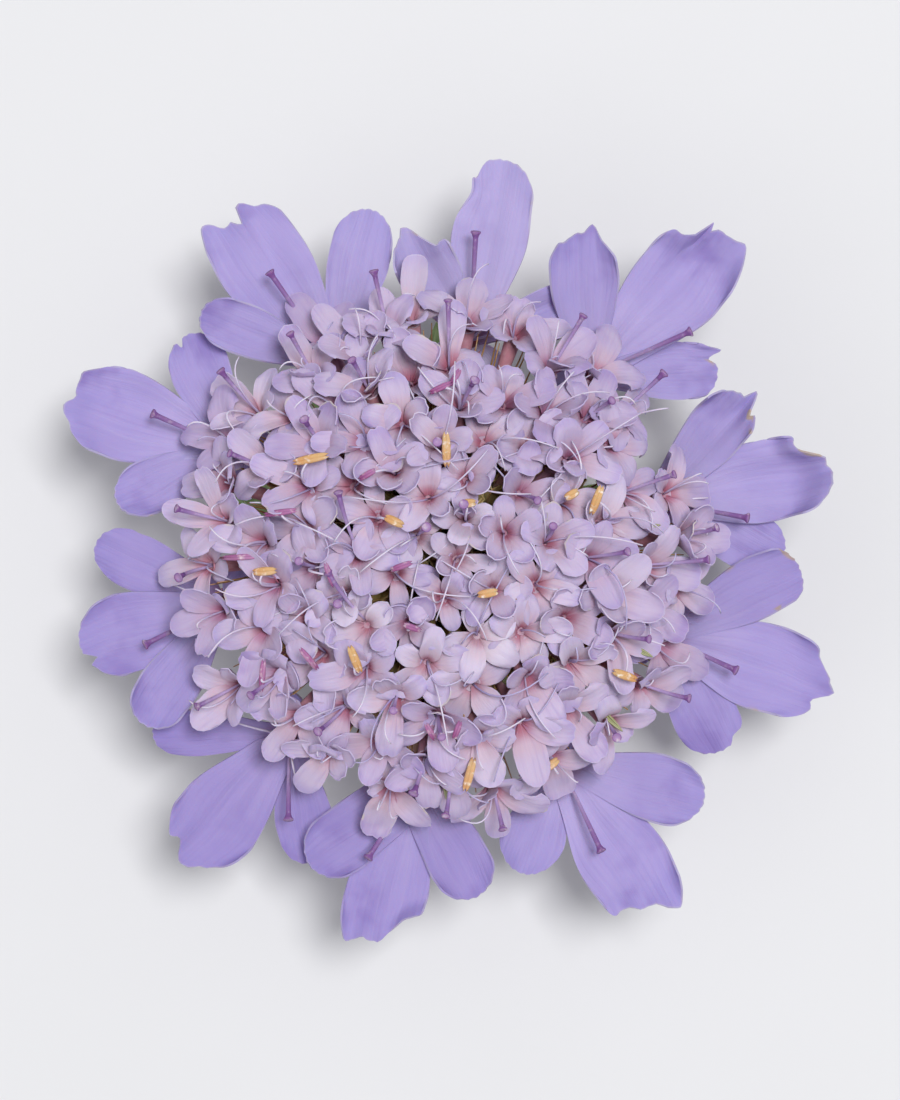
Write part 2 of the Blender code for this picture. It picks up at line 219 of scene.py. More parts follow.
def tube_grid(path: Array, radius: Array, sides: int, capped: bool) -> Array:
    """Carries a circle along paths.

    Each ring lies square to its path: the path's point plus radius times a unit circle. A cap is
    one more ring of radius zero at each end.

    Args:
        path: Centre lines, (tubes, points, 3).
        radius: Radii, that broadcast to (tubes, points).
        sides: Points on a ring.
        capped: Whether the ends are closed.

    Returns:
        The grid, (tubes, rows, sides, 3), with faces looking outwards.
    """
    along = unit(np.gradient(path, axis=1))
    chord = unit(path[:, -1] - path[:, 0])
    spare = np.where(np.abs(chord[:, 2:3]) < 0.9, UP, np.array((1.0, 0.0, 0.0)))
    side = unit(np.cross(along, spare[:, None, :]))
    other = np.cross(along, side)
    radius = np.broadcast_to(radius, path.shape[:2])
    if capped:
        path, side, other = (
            np.concatenate((a[:, :1], a, a[:, -1:]), axis=1) for a in (path, side, other)
        )
        radius = np.pad(radius, ((0, 0), (1, 1)))
    return path[:, :, None, :] + radius[:, :, None, None] * rings(side, other, sides)


def add_rods(
    work: Patchwork, path: Array, radii: tuple[float, float], sides: int, tone: Array,
) -> None:
    """Adds round rods with closed ends, whose radius changes evenly along them.

    Args:
        work: The patchwork.
        path: Centre lines, (rods, points, 3).
        radii: Radius at the first and at the last point, in millimetres.
        sides: Points on a ring.
        tone: Tone of each rod, (rods,).
    """
    radius = np.linspace(*radii, path.shape[1]) * MM
    work.add(tube_grid(path, radius, sides, capped=True), tone, closed=True)


class Value:
    """A number that varies over a surface: one shader socket with Python's operators."""

    def __init__(self, shader: "Shader", socket: bpy.types.NodeSocket) -> None:
        """Keeps the shader and the socket that gives the number."""
        self.shader = shader
        self.socket = socket

    def math(self, operation: str, *others: "Value | float") -> "Value":
        """Returns the result of a Math node on this number and others."""
        inputs = {i: v for i, v in enumerate((self, *others))}
        return self.shader.node("ShaderNodeMath", {"operation": operation}, inputs)

    def __add__(self, other: "Value | float") -> "Value":
        """Returns the sum."""
        return self.math("ADD", other)

    __radd__ = __add__

    def __sub__(self, other: "Value | float") -> "Value":
        """Returns the difference."""
        return self.math("SUBTRACT", other)

    def __rsub__(self, other: float) -> "Value":
        """Returns a number less this one."""
        return (self * -1.0) + other

    def __mul__(self, other: "Value | float") -> "Value":
        """Returns the product."""
        return self.math("MULTIPLY", other)

    __rmul__ = __mul__

    def sine(self) -> "Value":
        """Returns the sine of the number in radians."""
        return self.math("SINE")

    def size(self) -> "Value":
        """Returns the number without its sign."""
        return self.math("ABSOLUTE")

    def step(self, low: float, high: float) -> "Value":
        """Returns a smooth rise from 0 at low to 1 at high."""
        inputs = {"Value": self, "From Min": low, "From Max": high}
        return self.shader.node("ShaderNodeMapRange", {"interpolation_type": "SMOOTHSTEP"}, inputs)


class Shader:
    """Builds one Principled material from expressions."""

    def __init__(self, name: str) -> None:
        """Starts a material with only its output and its Principled shader.

        Args:
            name: Name of the material.
        """
        self.material = bpy.data.materials.new(name)
        self.material.use_nodes = True
        self.tree = self.material.node_tree
        self.principled = next(n for n in self.tree.nodes if n.type == "BSDF_PRINCIPLED")

    def node(
        self, kind: str, settings: dict[str, object], inputs: dict[str | int, object],
        output: str | int = 0,
    ) -> Value:
        """Adds a node.

        Args:
            kind: The node's type.
            settings: Its own properties, which are set first.
            inputs: Its sockets' values or links, by name or number.
            output: The socket to return, by name or number.

        Returns:
            The output as a Value.
        """
        node = self.tree.nodes.new(kind)
        for key, setting in settings.items():
            setattr(node, key, setting)
        for key, given in inputs.items():
            self.feed(node.inputs[key], given)
        return Value(self, node.outputs[output])

    def feed(self, socket: bpy.types.NodeSocket, given: object) -> None:
        """Links a Value to a socket, or sets the socket's own number or colour.

        Args:
            socket: The input socket.
            given: A Value, a number, a colour of three numbers or a vector.
        """
        if isinstance(given, Value):
            self.tree.links.new(given.socket, socket)
        elif isinstance(given, tuple) and len(given) == 3 and socket.type == "RGBA":
            socket.default_value = (*given, 1.0)
        else:
            socket.default_value = given

    def mix(
        self, share: Value | float, first: Value | Colour, second: Value | Colour,
    ) -> Value:
        """Turns one colour into another.

        Args:
            share: Share of the second colour, from 0 to 1.
            first: The first colour.
            second: The second colour.

        Returns:
            The mixed colour.
        """
        node = self.tree.nodes.new("ShaderNodeMix")
        node.data_type = "RGBA"
        self.feed(node.inputs[0], share)
        self.feed(node.inputs[6], first)
        self.feed(node.inputs[7], second)
        return Value(self, node.outputs[2])

    def noise(
        self, scale: float, detail: float = 2.0, roughness: float = 0.5,
        vector: Value | None = None,
    ) -> Value:
        """Makes noise about 0.5.

        Args:
            scale: Waves in a metre.
            detail: How many finer layers it has.
            roughness: How strong each finer layer is.
            vector: Where it is read, or None for the piece's own place.

        Returns:
            The noise.
        """
        place = vector or self.node("ShaderNodeTexCoord", {}, {}, "Object")
        inputs = {"Vector": place, "Scale": scale, "Detail": detail, "Roughness": roughness}
        return self.node("ShaderNodeTexNoise", {}, inputs, "Fac")

    def surface_place(self) -> tuple[Value, Value]:
        """Reads the surface map.

        Returns:
            Its two numbers, across and along.
        """
        place = self.node("ShaderNodeUVMap", {"uv_map": "surface"}, {})
        across = self.node("ShaderNodeSeparateXYZ", {}, {0: place}, "X")
        return across, Value(self, across.socket.node.outputs["Y"])

    def tone(self) -> Value:
        """Returns the piece's tone attribute, about 0."""
        return self.node("ShaderNodeAttribute", {"attribute_name": "tone"}, {}, "Fac")

    def finish(self, colour: "Value | Colour", roughness: "Value | float", **others: float) -> None:
        """Feeds the Principled shader.

        Args:
            colour: Base colour.
            roughness: Roughness.
            others: Plain numbers by socket, whose names have _ for each space.
        """
        self.feed(self.principled.inputs["Base Color"], colour)
        self.feed(self.principled.inputs["Roughness"], roughness)
        for key, number in others.items():
            self.principled.inputs[key.replace("_", " ")].default_value = number

    def bump(self, height: Value, distance: float) -> None:
        """Raises the surface's look.

        Args:
            height: Height, about 0 to 1.
            distance: Metres that a height of 1 stands for.
        """
        normal = self.node("ShaderNodeBump", {}, {"Distance": distance, "Height": height}, "Normal")
        self.tree.links.new(normal.socket, self.principled.inputs["Normal"])


@dataclass(frozen=True)
class PetalFinish:
    """A thin, matt petal: its colours from the throat to the tip, and its veins.

    Claw end and rim width are shares of the length and of the half width, veins is how many lie
    side by side, vein depth is in metres, and the scales are in noise waves to the metre.
    """

    name: str
    throat: Colour
    claw: Colour
    blade: Colour
    tip: Colour
    rim: Colour
    smudge: Colour
    blemish: Colour
    claw_end: float
    veins: float
    vein_depth: float
    vein_share: float
    rim_width: float
    # Near white that a high tone mixes in: each petal's own paler tone, and on the rays also
    # painted light
    pale_tone_and_painted_light: Colour = (0.96, 0.94, 1.0)
    specular: float = 0.25
    blotch_scale: float = 380.0
    smudge_scale: float = 240.0
    wander_scale: float = 160.0
    spot_scale: float = 420.0
    skin_scale: float = 4200.0

    def material(self) -> Material:
        """Builds the petal's material.

        Colour runs along the surface from throat to claw to blade to tip. Fine lengthwise veins
        that fade in and out, soft smudges and the surface's tone vary it; on the rays that tone is
        partly painted light and painted shade. A thin paler line runs round the rim, with a few
        withered specks.

        Returns:
            The material.
        """
        shader = Shader(self.name)
        across, along = shader.surface_place()
        tone = shader.tone()
        blotch = shader.noise(self.blotch_scale, 3.0)
        colour = self.throat
        for ragged, low, high, next_colour in (
            (0.1, 0.02, self.claw_end, self.claw), (0.35, self.claw_end, 0.6, self.blade),
            (0.7, 0.7, 1.1, self.tip),
        ):
            share = (along + (blotch - 0.5) * ragged).step(low, high)
            colour = shader.mix(share, colour, next_colour)
        smudge = shader.noise(self.smudge_scale, 3.0, 0.6).step(0.5, 0.72) * along.step(0.3, 0.9)
        colour = shader.mix(smudge * 0.7, colour, self.smudge)
        wander = (shader.noise(self.wander_scale, 1.0) - 0.5) * 0.35
        fan = {"X": (across - 0.5 + wander * along) * self.veins, "Y": along * 1.3 + tone * 9.0}
        streak = shader.noise(1.0, 2.0, 0.55, shader.node("ShaderNodeCombineXYZ", {}, fan))
        colour = shader.mix((streak - 0.5).step(0.0, 0.3) * self.vein_share, colour, self.smudge)
        colour = shader.mix((0.5 - streak).step(0.0, 0.3) * self.vein_share * 0.8, colour, self.rim)
        off_middle = ((across - 0.5) * 2.0).size()
        side = off_middle.step(1.0 - self.rim_width, 1.0) * along.step(0.3, 0.55)
        edge = side.math("MAXIMUM", along.step(1.0 - self.rim_width * 0.6, 1.0))
        colour = shader.mix(edge * (blotch.step(0.3, 0.6) * 0.4 + 0.2), colour, self.rim)
        near_edge = off_middle.step(0.8, 1.0).math("MAXIMUM", along.step(0.93, 1.0))
        spot = shader.noise(self.spot_scale, 2.0).step(0.64, 0.7)
        spot = spot * near_edge.step(0.1, 0.8) * along.step(0.5, 0.7)
        colour = shader.mix(spot.math("MINIMUM", 0.75), colour, self.blemish)
        # A high tone pales the colour towards the claw's and near white, and a low one darkens it
        # towards the smudge colour: each petal's own tone, and on the rays also painted light and
        # painted shade
        colour = shader.mix((tone * 0.4).step(0.0, 1.0), colour, self.claw)
        colour = shader.mix((tone * 0.4).step(0.0, 1.0), colour, self.pale_tone_and_painted_light)
        colour = shader.mix((tone * -0.5).step(0.0, 1.0), colour, self.smudge)
        shader.finish(
            colour, 0.6 + (streak - 0.5) * 0.2, Subsurface_Weight=0.08, Subsurface_Scale=0.0005,
            Specular_IOR_Level=self.specular,
        )
        skin = shader.noise(self.skin_scale, 1.0)
        shader.bump((streak - 0.5) * 1.2 + skin * 0.2, self.vein_depth)
        return shader.material


@dataclass(frozen=True)
class RodFinish:
    """A smooth thread or rod whose colour changes from its root to its tip."""

    name: str
    root: Colour
    tip: Colour
    start: float = 0.3
    end: float = 0.9
    roughness: float = 0.45
    grain: float = 0.0
    fleck: Colour = (1.0, 0.95, 0.9)
    pale: Colour = (1.0, 1.0, 1.0)
    dark: Colour = (0.3, 0.26, 0.52)
    fleck_scale: float = 2600.0

    def material(self) -> Material:
        """Builds the rod's material.

        The root's colour turns into the tip's from start to end along it. Fine grain flecks it,
        and each rod's own tone makes it paler or darker.

        Returns:
            The material.
        """
        shader = Shader(self.name)
        _, along = shader.surface_place()
        colour = shader.mix(along.step(self.start, self.end), self.root, self.tip)
        fleck = shader.noise(self.fleck_scale, 2.0)
        flecked = (fleck - 0.5).step(0.0, 0.35) * (0.2 + self.grain)
        colour = shader.mix(flecked, colour, self.fleck)
        tone = shader.tone()
        colour = shader.mix((tone * 0.25).step(0.0, 1.0), colour, self.pale)
        colour = shader.mix((tone * -0.6).step(0.0, 1.0), colour, self.dark)
        roughness = self.roughness + (fleck - 0.5) * 0.1
        shader.finish(colour, roughness, Subsurface_Weight=0.1, Subsurface_Scale=0.0004)
        shader.bump(fleck, 0.00002 + 0.0001 * self.grain)
        return shader.material


@dataclass(frozen=True)
class GreenFinish:
    """A green, finely hairy surface, such as a bract, the receptacle or the stem."""

    name: str
    base: Colour
    dark: Colour
    pale: Colour
    ribs: float
    mottle_scale: float = 900.0

    def material(self) -> Material:
        """Builds the green material: ribs along the surface, mottling, and pale ends.

        Returns:
            The material.
        """
        shader = Shader(self.name)
        across, along = shader.surface_place()
        mottle = shader.noise(self.mottle_scale, 4.0, 0.6)
        colour = shader.mix(mottle.step(0.35, 0.7), self.dark, self.base)
        rib = (across * self.ribs).sine().step(-0.2, 1.0)
        colour = shader.mix(rib * 0.4, colour, self.pale)
        colour = shader.mix(along.step(0.75, 1.0) * 0.35, colour, self.pale)
        roughness = 0.55 + (mottle - 0.5) * 0.2
        shader.finish(colour, roughness, Subsurface_Weight=0.08, Subsurface_Scale=0.0005)
        shader.bump(rib + mottle * 0.6, 0.00005)
        return shader.material


@dataclass(frozen=True)
class FloorFinish:
    """The plain pale floor."""

    colour: Colour = (0.72, 0.72, 0.73)

    def material(self) -> Material:
        """Builds the floor's material: one matt colour with a faint grain.

        Returns:
            The material.
        """
        shader = Shader("Floor")
        grain = shader.noise(60.0, 2.0)
        shade = shader.mix(grain, self.colour, tuple(0.97 * c for c in self.colour))
        shader.finish(shade, 0.8)
        return shader.material


class AntherState(Enum):
    """Whether an anther has opened and shows its pollen."""

    OPEN = "open"
    SHUT = "shut"


class Finishes:
    """All the finishes of the flower, each made once."""

    def __init__(self) -> None:
        """Makes the materials."""
        self.ray = PetalFinish(
            "Ray petal", throat=(0.36, 0.22, 0.38), claw=(0.43, 0.36, 0.65),
            blade=(0.35, 0.29, 0.59), tip=(0.31, 0.26, 0.57), rim=(0.46, 0.43, 0.55),
            smudge=(0.21, 0.15, 0.43), blemish=(0.44, 0.33, 0.16), claw_end=0.16, veins=20.0,
            vein_depth=0.04 * MM, vein_share=0.16, rim_width=0.022,
        ).material()
        self.disc = PetalFinish(
            "Disc petal", throat=(0.42, 0.13, 0.19), claw=(0.545, 0.395, 0.50),
            blade=(0.525, 0.43, 0.60), tip=(0.43, 0.35, 0.60), rim=(0.60, 0.53, 0.67),
            smudge=(0.31, 0.22, 0.47), blemish=(0.55, 0.48, 0.44), claw_end=0.28, veins=7.0,
            vein_depth=0.04 * MM, vein_share=0.34, rim_width=0.045,
        ).material()
        self.tube = RodFinish(
            "Corolla tube", root=(0.58, 0.48, 0.28), tip=(0.52, 0.22, 0.27),
            start=0.3, end=0.8, roughness=0.6,
        ).material()
        self.style = RodFinish(
            "Style", root=(0.52, 0.40, 0.66), tip=(0.20, 0.09, 0.29), start=0.2, end=0.95,
        ).material()
        self.stigma = RodFinish(
            "Stigma", root=(0.20, 0.08, 0.28), tip=(0.36, 0.22, 0.42),
            start=0.6, end=0.95, roughness=0.7, grain=0.2,
        ).material()
        self.filament = RodFinish(
            "Filament", root=(0.46, 0.37, 0.58), tip=(0.62, 0.55, 0.70), start=0.1, end=0.7,
        ).material()
        self.anthers = {
            AntherState.OPEN: RodFinish(
                "Open anther", root=(0.60, 0.30, 0.11), tip=(0.64, 0.40, 0.18),
                start=0.1, end=0.9, roughness=0.95, grain=0.9,
            ).material(),
            AntherState.SHUT: RodFinish(
                "Shut anther", root=(0.27, 0.06, 0.20), tip=(0.38, 0.14, 0.32),
                start=0.1, end=0.9, roughness=0.6, grain=0.3,
            ).material(),
        }
        self.bristle = RodFinish(
            "Calyx bristle", root=(0.40, 0.27, 0.07), tip=(0.46, 0.24, 0.08), start=0.3, end=0.9,
        ).material()
        self.involucel = GreenFinish(
            "Involucel", (0.56, 0.46, 0.20), (0.46, 0.36, 0.14), (0.76, 0.56, 0.28), ribs=50.0,
        ).material()
        self.scale = GreenFinish(
            "Scale", (0.40, 0.43, 0.20), (0.30, 0.33, 0.14), (0.54, 0.55, 0.34), ribs=9.0,
        ).material()
        self.bract = GreenFinish(
            "Bract", (0.20, 0.31, 0.09), (0.11, 0.20, 0.05), (0.38, 0.46, 0.20), ribs=19.0,
        ).material()
        self.stem = GreenFinish(
            "Stem", (0.24, 0.34, 0.12), (0.15, 0.24, 0.07), (0.42, 0.48, 0.26), ribs=75.0,
        ).material()
        self.hair = RodFinish(
            "Hair", root=(0.70, 0.74, 0.58), tip=(0.88, 0.90, 0.80), start=0.1, end=0.9,
        ).material()
        self.pith = GreenFinish(
            "Pith", (0.62, 0.66, 0.42), (0.48, 0.56, 0.30), (0.78, 0.80, 0.62), ribs=9.0,
        ).material()


@dataclass(frozen=True)
class Tooth:
    """A small tooth in a lobe's rim, or a notch if its height is negative.

    The place is across the lobe, from -1 at its right edge to 1 at its left. The height is in
    millimetres and the width is half the tooth's breadth in the same measure as the place.
    """

    place: float
    height: float
    width: float

    def rim(self, u: Array) -> Array:
        """Returns how far the tooth moves the rim at places u, easing off to each side."""
        return self.height * smoothstep(1.0 - np.abs(u - self.place) / self.width)


@dataclass(frozen=True)
class LobeShape:
    """One large lobe of a ray floret, seen from its throat.

    The length, width, lift, curl and ruffle are in millimetres and the turn is in degrees,
    positive to the left. Round is how far the end is rounded off, as a share of the half width.
    Fold is how steeply the halves rise from the middle line, base is the breadth at the throat
    as a share of the width, and pinch is how far the lobe is drawn in near its end.
    """

    length: float
    turn: float
    width: float
    lift: float
    teeth: tuple[Tooth, ...] = ()
    curl: float = 0.0
    fold: float = 0.12
    ruffle: float = 0.12
    round: float = 0.85
    base: float = 0.42
    broadest: float = 0.68
    pinch: float = 0.0


@dataclass(frozen=True)
class RayShape:
    """One ray floret: its throat's place, its large lobes, how its style points and its tone,
    which is partly the ray's own and partly painted light and painted shade.
    """

    azimuth: float
    reach: float
    middle: LobeShape
    left: LobeShape
    right: LobeShape
    style_length: float
    style_turn: float
    tone: float


# The tones paint shade on the lower and left rays and light on the top ones, on top of each ray's
# own tone
RAYS = (
    RayShape(
        azimuth=82, reach=12.8, style_length=5.9, style_turn=5, tone=0.35,
        middle=LobeShape(
            10.7, -2.6, 4.5, 0.7, curl=0.1, round=0.9, broadest=0.58, pinch=0.3,
            teeth=(Tooth(0.75, -0.5, 0.25),),
        ),
        left=LobeShape(
            7.2, 39, 3.6, 1.5, round=0.98,
            teeth=(Tooth(0.05, 0.4, 0.35), Tooth(-0.6, -1.15, 0.5)),
        ),
        right=LobeShape(7.1, -60, 2.4, -0.4, fold=0.8),
    ),
    RayShape(
        azimuth=50, reach=13.8, style_length=6.0, style_turn=-27, tone=0.0,
        middle=LobeShape(
            11.4, -3.9, 5.45, 0.6, curl=0.7, fold=0.2, ruffle=0.22, round=0.95, base=0.38,
            broadest=0.66,
            teeth=(Tooth(0.42, 1.0, 0.07), Tooth(0.62, -1.15, 0.5), Tooth(-0.6, 0.7, 0.5)),
        ),
        left=LobeShape(
            8.3, 44.3, 4.0, 1.5,
            teeth=(Tooth(-0.4, 0.6, 0.3), Tooth(-0.85, -0.3, 0.3), Tooth(0.5, -0.2, 0.3)),
        ),
        right=LobeShape(
            7.5, -47, 3.4, -0.4, curl=0.3, fold=0.3, ruffle=0.2, round=0.6,
            teeth=(Tooth(0.75, 0.6, 0.2), Tooth(0.4, -0.4, 0.25)),
        ),
    ),
    RayShape(
        azimuth=14, reach=13.1, style_length=5.1, style_turn=-25, tone=0.25,
        middle=LobeShape(
            10.3, -3.4, 4.8, 0.8, curl=1.3, fold=0.15, ruffle=0.35, broadest=0.6,
            teeth=(Tooth(0.15, -0.3, 0.15), Tooth(0.68, -1.3, 0.45)),
        ),
        left=LobeShape(
            7.9, 36.2, 3.4, 1.6, curl=0.4, fold=0.25, ruffle=0.2, base=0.5,
            teeth=(Tooth(-0.25, 0.8, 0.25), Tooth(-0.6, -0.4, 0.2)),
        ),
        right=LobeShape(8.2, -37, 3.4, -0.4),
    ),
    RayShape(
        azimuth=-20, reach=14.0, style_length=4.3, style_turn=-5, tone=-0.5,
        middle=LobeShape(
            10.05, 3, 5.15, 0.5, curl=0.2, fold=0.15, ruffle=0.2, broadest=0.58,
            teeth=(Tooth(-0.47, -0.5, 0.22), Tooth(-0.1, 0.45, 0.25), Tooth(0.6, -0.4, 0.4)),
        ),
        left=LobeShape(8.85, 48, 3.6, 1.4, round=0.6),
        right=LobeShape(7.6, -42, 3.8, -0.4, round=0.7, base=0.75, teeth=(Tooth(0.6, -0.3, 0.3),)),
    ),
    RayShape(
        azimuth=-60, reach=14.2, style_length=5.2, style_turn=-5, tone=-0.1,
        middle=LobeShape(
            9.8, 3.1, 5.15, 0.6, curl=0.2, fold=0.15, ruffle=0.2, round=0.42,
            teeth=(Tooth(-0.6, -0.5, 0.4), Tooth(0.1, 0.0, 0.3), Tooth(0.6, 1.25, 0.62)),
        ),
        left=LobeShape(8.6, 46.4, 3.95, 1.4, round=0.9),
        right=LobeShape(6.85, -50, 3.7, -0.3, round=0.9),
    ),
    RayShape(
        azimuth=-96, reach=13.6, style_length=4.7, style_turn=-28, tone=-0.65,
        middle=LobeShape(
            9.45, -9.2, 4.8, 0.4, curl=0.3, fold=0.2, ruffle=0.25, round=0.7,
            teeth=(Tooth(-0.8, 1.0, 0.5), Tooth(0.72, -1.4, 0.65)),
        ),
        left=LobeShape(7.4, 36, 3.6, 1.3, base=0.8),
        right=LobeShape(7.7, -47, 3.8, 1.4, base=0.9),
    ),
    RayShape(
        azimuth=-130, reach=13.8, style_length=4.6, style_turn=41, tone=-0.8,
        middle=LobeShape(
            9.45, -0.1, 5.15, 0.7, curl=0.1, fold=0.15, ruffle=0.16,
            teeth=(Tooth(-0.42, -0.6, 0.25), Tooth(0.05, 0.4, 0.45)),
        ),
        left=LobeShape(7.75, 50, 3.4, -0.5),
        right=LobeShape(8.1, -51, 2.7, -0.5, round=0.95),
    ),
    RayShape(
        azimuth=-167, reach=13.0, style_length=4.8, style_turn=14, tone=-0.6,
        middle=LobeShape(8.8, 3.2, 4.7, 0.6, teeth=(Tooth(0.4, -0.6, 0.2),)),
        left=LobeShape(8.4, 43, 3.4, 1.4),
        right=LobeShape(8.45, -38.8, 3.3, -0.4, round=1.0, base=0.7),
    ),
    RayShape(
        azimuth=153, reach=13.7, style_length=4.7, style_turn=3, tone=-0.2,
        middle=LobeShape(
            9.9, 9.5, 5.3, 0.7, curl=0.3, fold=0.2, ruffle=0.25, round=0.7, base=0.33,
            teeth=(Tooth(-0.1, -0.3, 0.2), Tooth(0.3, 0.3, 0.3), Tooth(-0.7, 0.3, 0.25)),
        ),
        left=LobeShape(7.4, 52, 3.2, 1.3, round=1.0),
        right=LobeShape(
            7.3, -41, 3.5, -0.4, fold=0.45, ruffle=0.2, round=0.9,
            teeth=(Tooth(0.35, -0.5, 0.2),),
        ),
    ),
    RayShape(
        azimuth=119, reach=12.8, style_length=6.2, style_turn=6, tone=0.2,
        middle=LobeShape(
            10.6, 5.7, 5.45, 0.6, curl=0.1, fold=0.15, ruffle=0.2, round=0.5,
            teeth=(
                Tooth(-0.08, -1.0, 0.16), Tooth(0.2, -0.4, 0.3),
                Tooth(-0.3, 0.45, 0.3), Tooth(0.75, 0.9, 0.4),
            ),
        ),
        left=LobeShape(8.3, 40, 3.0, 1.5, round=1.0),
        right=LobeShape(9.45, -42, 3.6, -0.3, round=1.0, base=0.36),
    ),
)


# Along a lobe, as shares of its length: the middle and the reach of a pinch, and the curl's start
PINCH_PLACE = 0.8
PINCH_REACH = 0.11
CURL_START = 0.72


@dataclass
class LobeGrid:
    """Works out lobes of one kind as whole arrays.

    Every lobe leaves its floret's throat on a claw, dips there like the side of a funnel, widens
    to a blade and ends in its own rim. Sizes are in metres. Wrap is the widest angle, in radians,
    that a lobe's side reaches round the throat, and relief is the strength of pleats and waves.
    """

    rows: int
    columns: int
    claw: float
    dip: float
    dip_reach: float
    wrap: float
    wrap_reach: float
    relief: float = 1.0

    def __post_init__(self) -> None:
        """Spaces the columns like a circle's points, so that rounded ends are even."""
        self.across = np.sin(np.linspace(-np.pi / 2.0, np.pi / 2.0, self.columns))

    def rounded(self, depth: Array) -> Array:
        """Rounds the ends of lobes by half ellipses.

        Args:
            depth: Half axis of each ellipse along its lobe, (lobes,).

        Returns:
            How far each column ends before or past the lobe's length, (lobes, columns).
        """
        return -depth[:, None] * (1.0 - np.sqrt(1.0 - self.across ** 2))

    def surface(self, lobes: "Lobes") -> tuple[Array, Array, Array, Array]:
        """Works out the lobes in their own frames.

        With v from 0 at the claw to 1 at the end and u from -1 to 1 across, the distance from the
        throat is claw plus v times (length + rim(u) - claw). The half width grows smoothly with
        that distance from the base's to the blade's, and may be pinched near the end. Near the
        throat the claw bends round it, within the wrap angle to each side. The height is the sum
        of a lift by v to the power 1.6, a fold by the size of u, lengthwise pleats, two crossing
        long waves, a curl near the end and ruffles that grow to the rim. The depth, along the
        floret's own axis, is a funnel that fades with distance.

        Args:
            lobes: The lobes' sizes.

        Returns:
            Distance from the throat, sideways place, height and depth, each (lobes, rows, columns).
        """
        v = np.linspace(0.0, 1.0, self.rows)[None, :, None]
        u = self.across[None, None, :]
        length, width, lift, curl, fold, ruffle, phase, base, broadest, pinch = lobes.sizes()
        distance = self.claw + v * (length + lobes.rim[:, None, :] * v ** 1.5 - self.claw)
        part = distance / length
        breadth = base + (1.0 - base) * smoothstep(part / broadest)
        breadth = breadth * (1.0 - 0.12 * smoothstep((part - broadest) / (1.0 - broadest)))
        pinched = np.exp(-(((part - PINCH_PLACE) / PINCH_REACH) ** 2)) * (0.5 + 0.5 * u)
        breadth = breadth * (1.0 - pinch * pinched)
        breadth = breadth * (1.0 + 0.018 * np.sin(11.0 * v + phase + 1.5 * u) * v)
        sideways = u * breadth * width / 2.0
        depth = self.dip * np.exp(-(distance - self.claw) / self.dip_reach)
        crease = (np.sqrt(u * u + 0.02) - 0.14) * breadth * width / 2.0 * (1.0 - 0.5 * v)
        height = lift * v ** 1.6 + fold * crease
        pleats = np.cos(7.0 * u + phase) * np.sin(np.pi * v) * (1.0 - 0.4 * np.abs(u))
        swell = np.sin(4.6 * v + 2.0 * phase) * np.sin(2.6 * u + 3.1 * v + phase) * v
        height = height + self.relief * width * (0.009 * pleats + 0.022 * swell)
        height = height + curl * smoothstep((v - CURL_START) / (1.0 - CURL_START)) ** 2
        wave = np.sin(7.0 * v + phase + 2.2 * u) * np.abs(u) ** 2 * v ** 2
        wave = wave + np.sin(7.0 * u + 1.7 * phase) * v ** 8 * 0.8
        height = height + ruffle * wave
        turn = np.clip(sideways / distance, -self.wrap, self.wrap)
        near = np.exp(-(((distance - self.claw) / self.wrap_reach) ** 2))
        sideways = sideways * (1.0 - near) + distance * np.sin(turn) * near
        distance = distance * (1.0 - near + np.cos(turn) * near)
        return distance, sideways, height, depth

    def place(
        self, work: Patchwork, throat: Array, out: Array, axis: Array, rise: Array, lobes: "Lobes",
        tone: Array,
    ) -> None:
        """Adds the lobes to a patchwork, each in its own place.

        Args:
            work: The patchwork.
            throat: Throat of each lobe's floret, (lobes, 3).
            out: Direction of each lobe, square to its floret's axis, (lobes, 3).
            axis: Axis of each lobe's floret, (lobes, 3).
            rise: Angle of each lobe above its floret's face, in radians, (lobes,).
            lobes: The lobes' sizes.
            tone: Tone of each lobe, (lobes,).
        """
        side = np.cross(axis, out)[:, None, None, :]
        turn = rise[:, None]
        normal = (axis * np.cos(turn) - out * np.sin(turn))[:, None, None, :]
        out = (out * np.cos(turn) + axis * np.sin(turn))[:, None, None, :]
        distance, sideways, height, depth = (p[..., None] for p in self.surface(lobes))
        grid = throat[:, None, None, :] + out * distance + side * sideways + normal * height
        grid = grid - axis[:, None, None, :] * depth
        work.add(grid, tone, across=(self.across + 1.0) / 2.0)


@dataclass
class Lobes:
    """Sizes of many lobes as arrays, (lobes,), in metres; the rim is (lobes, columns)."""

    length: Array
    width: Array
    lift: Array
    rim: Array
    curl: Array
    fold: Array
    ruffle: Array
    phase: Array
    base: Array
    broadest: Array
    pinch: Array

    def sizes(self) -> tuple[Array, ...]:
        """Lists all the sizes but the rim, for the formulas of a whole grid.

        Returns:
            Length, width, lift, curl, fold, ruffle, phase, base, broadest and pinch, each as
            (lobes, 1, 1).
        """
        return tuple(size[:, None, None] for size in (
            self.length, self.width, self.lift, self.curl, self.fold, self.ruffle, self.phase,
            self.base, self.broadest, self.pinch,
        ))


def thicken(piece: bpy.types.Object, thickness: float) -> None:
    """Gives a sheet its thickness, half to each side, with a crisp rim.

    The shell is applied, so that the edges between its faces and its narrow rim can be sharp.

    Args:
        piece: The sheet's object, which has no other modifier.
        thickness: Thickness in metres.
    """
    shell = piece.modifiers.new("Thickness", "SOLIDIFY")
    shell.thickness = thickness
    shell.offset = 0.0
    sheet = piece.data
    shelled = piece.evaluated_get(bpy.context.evaluated_depsgraph_get())
    made = bpy.data.meshes.new_from_object(shelled)
    piece.modifiers.clear()
    piece.data = made
    bpy.data.meshes.remove(sheet)
    made.name = piece.name
    made.set_sharp_from_angle(angle=RIM_ANGLE)


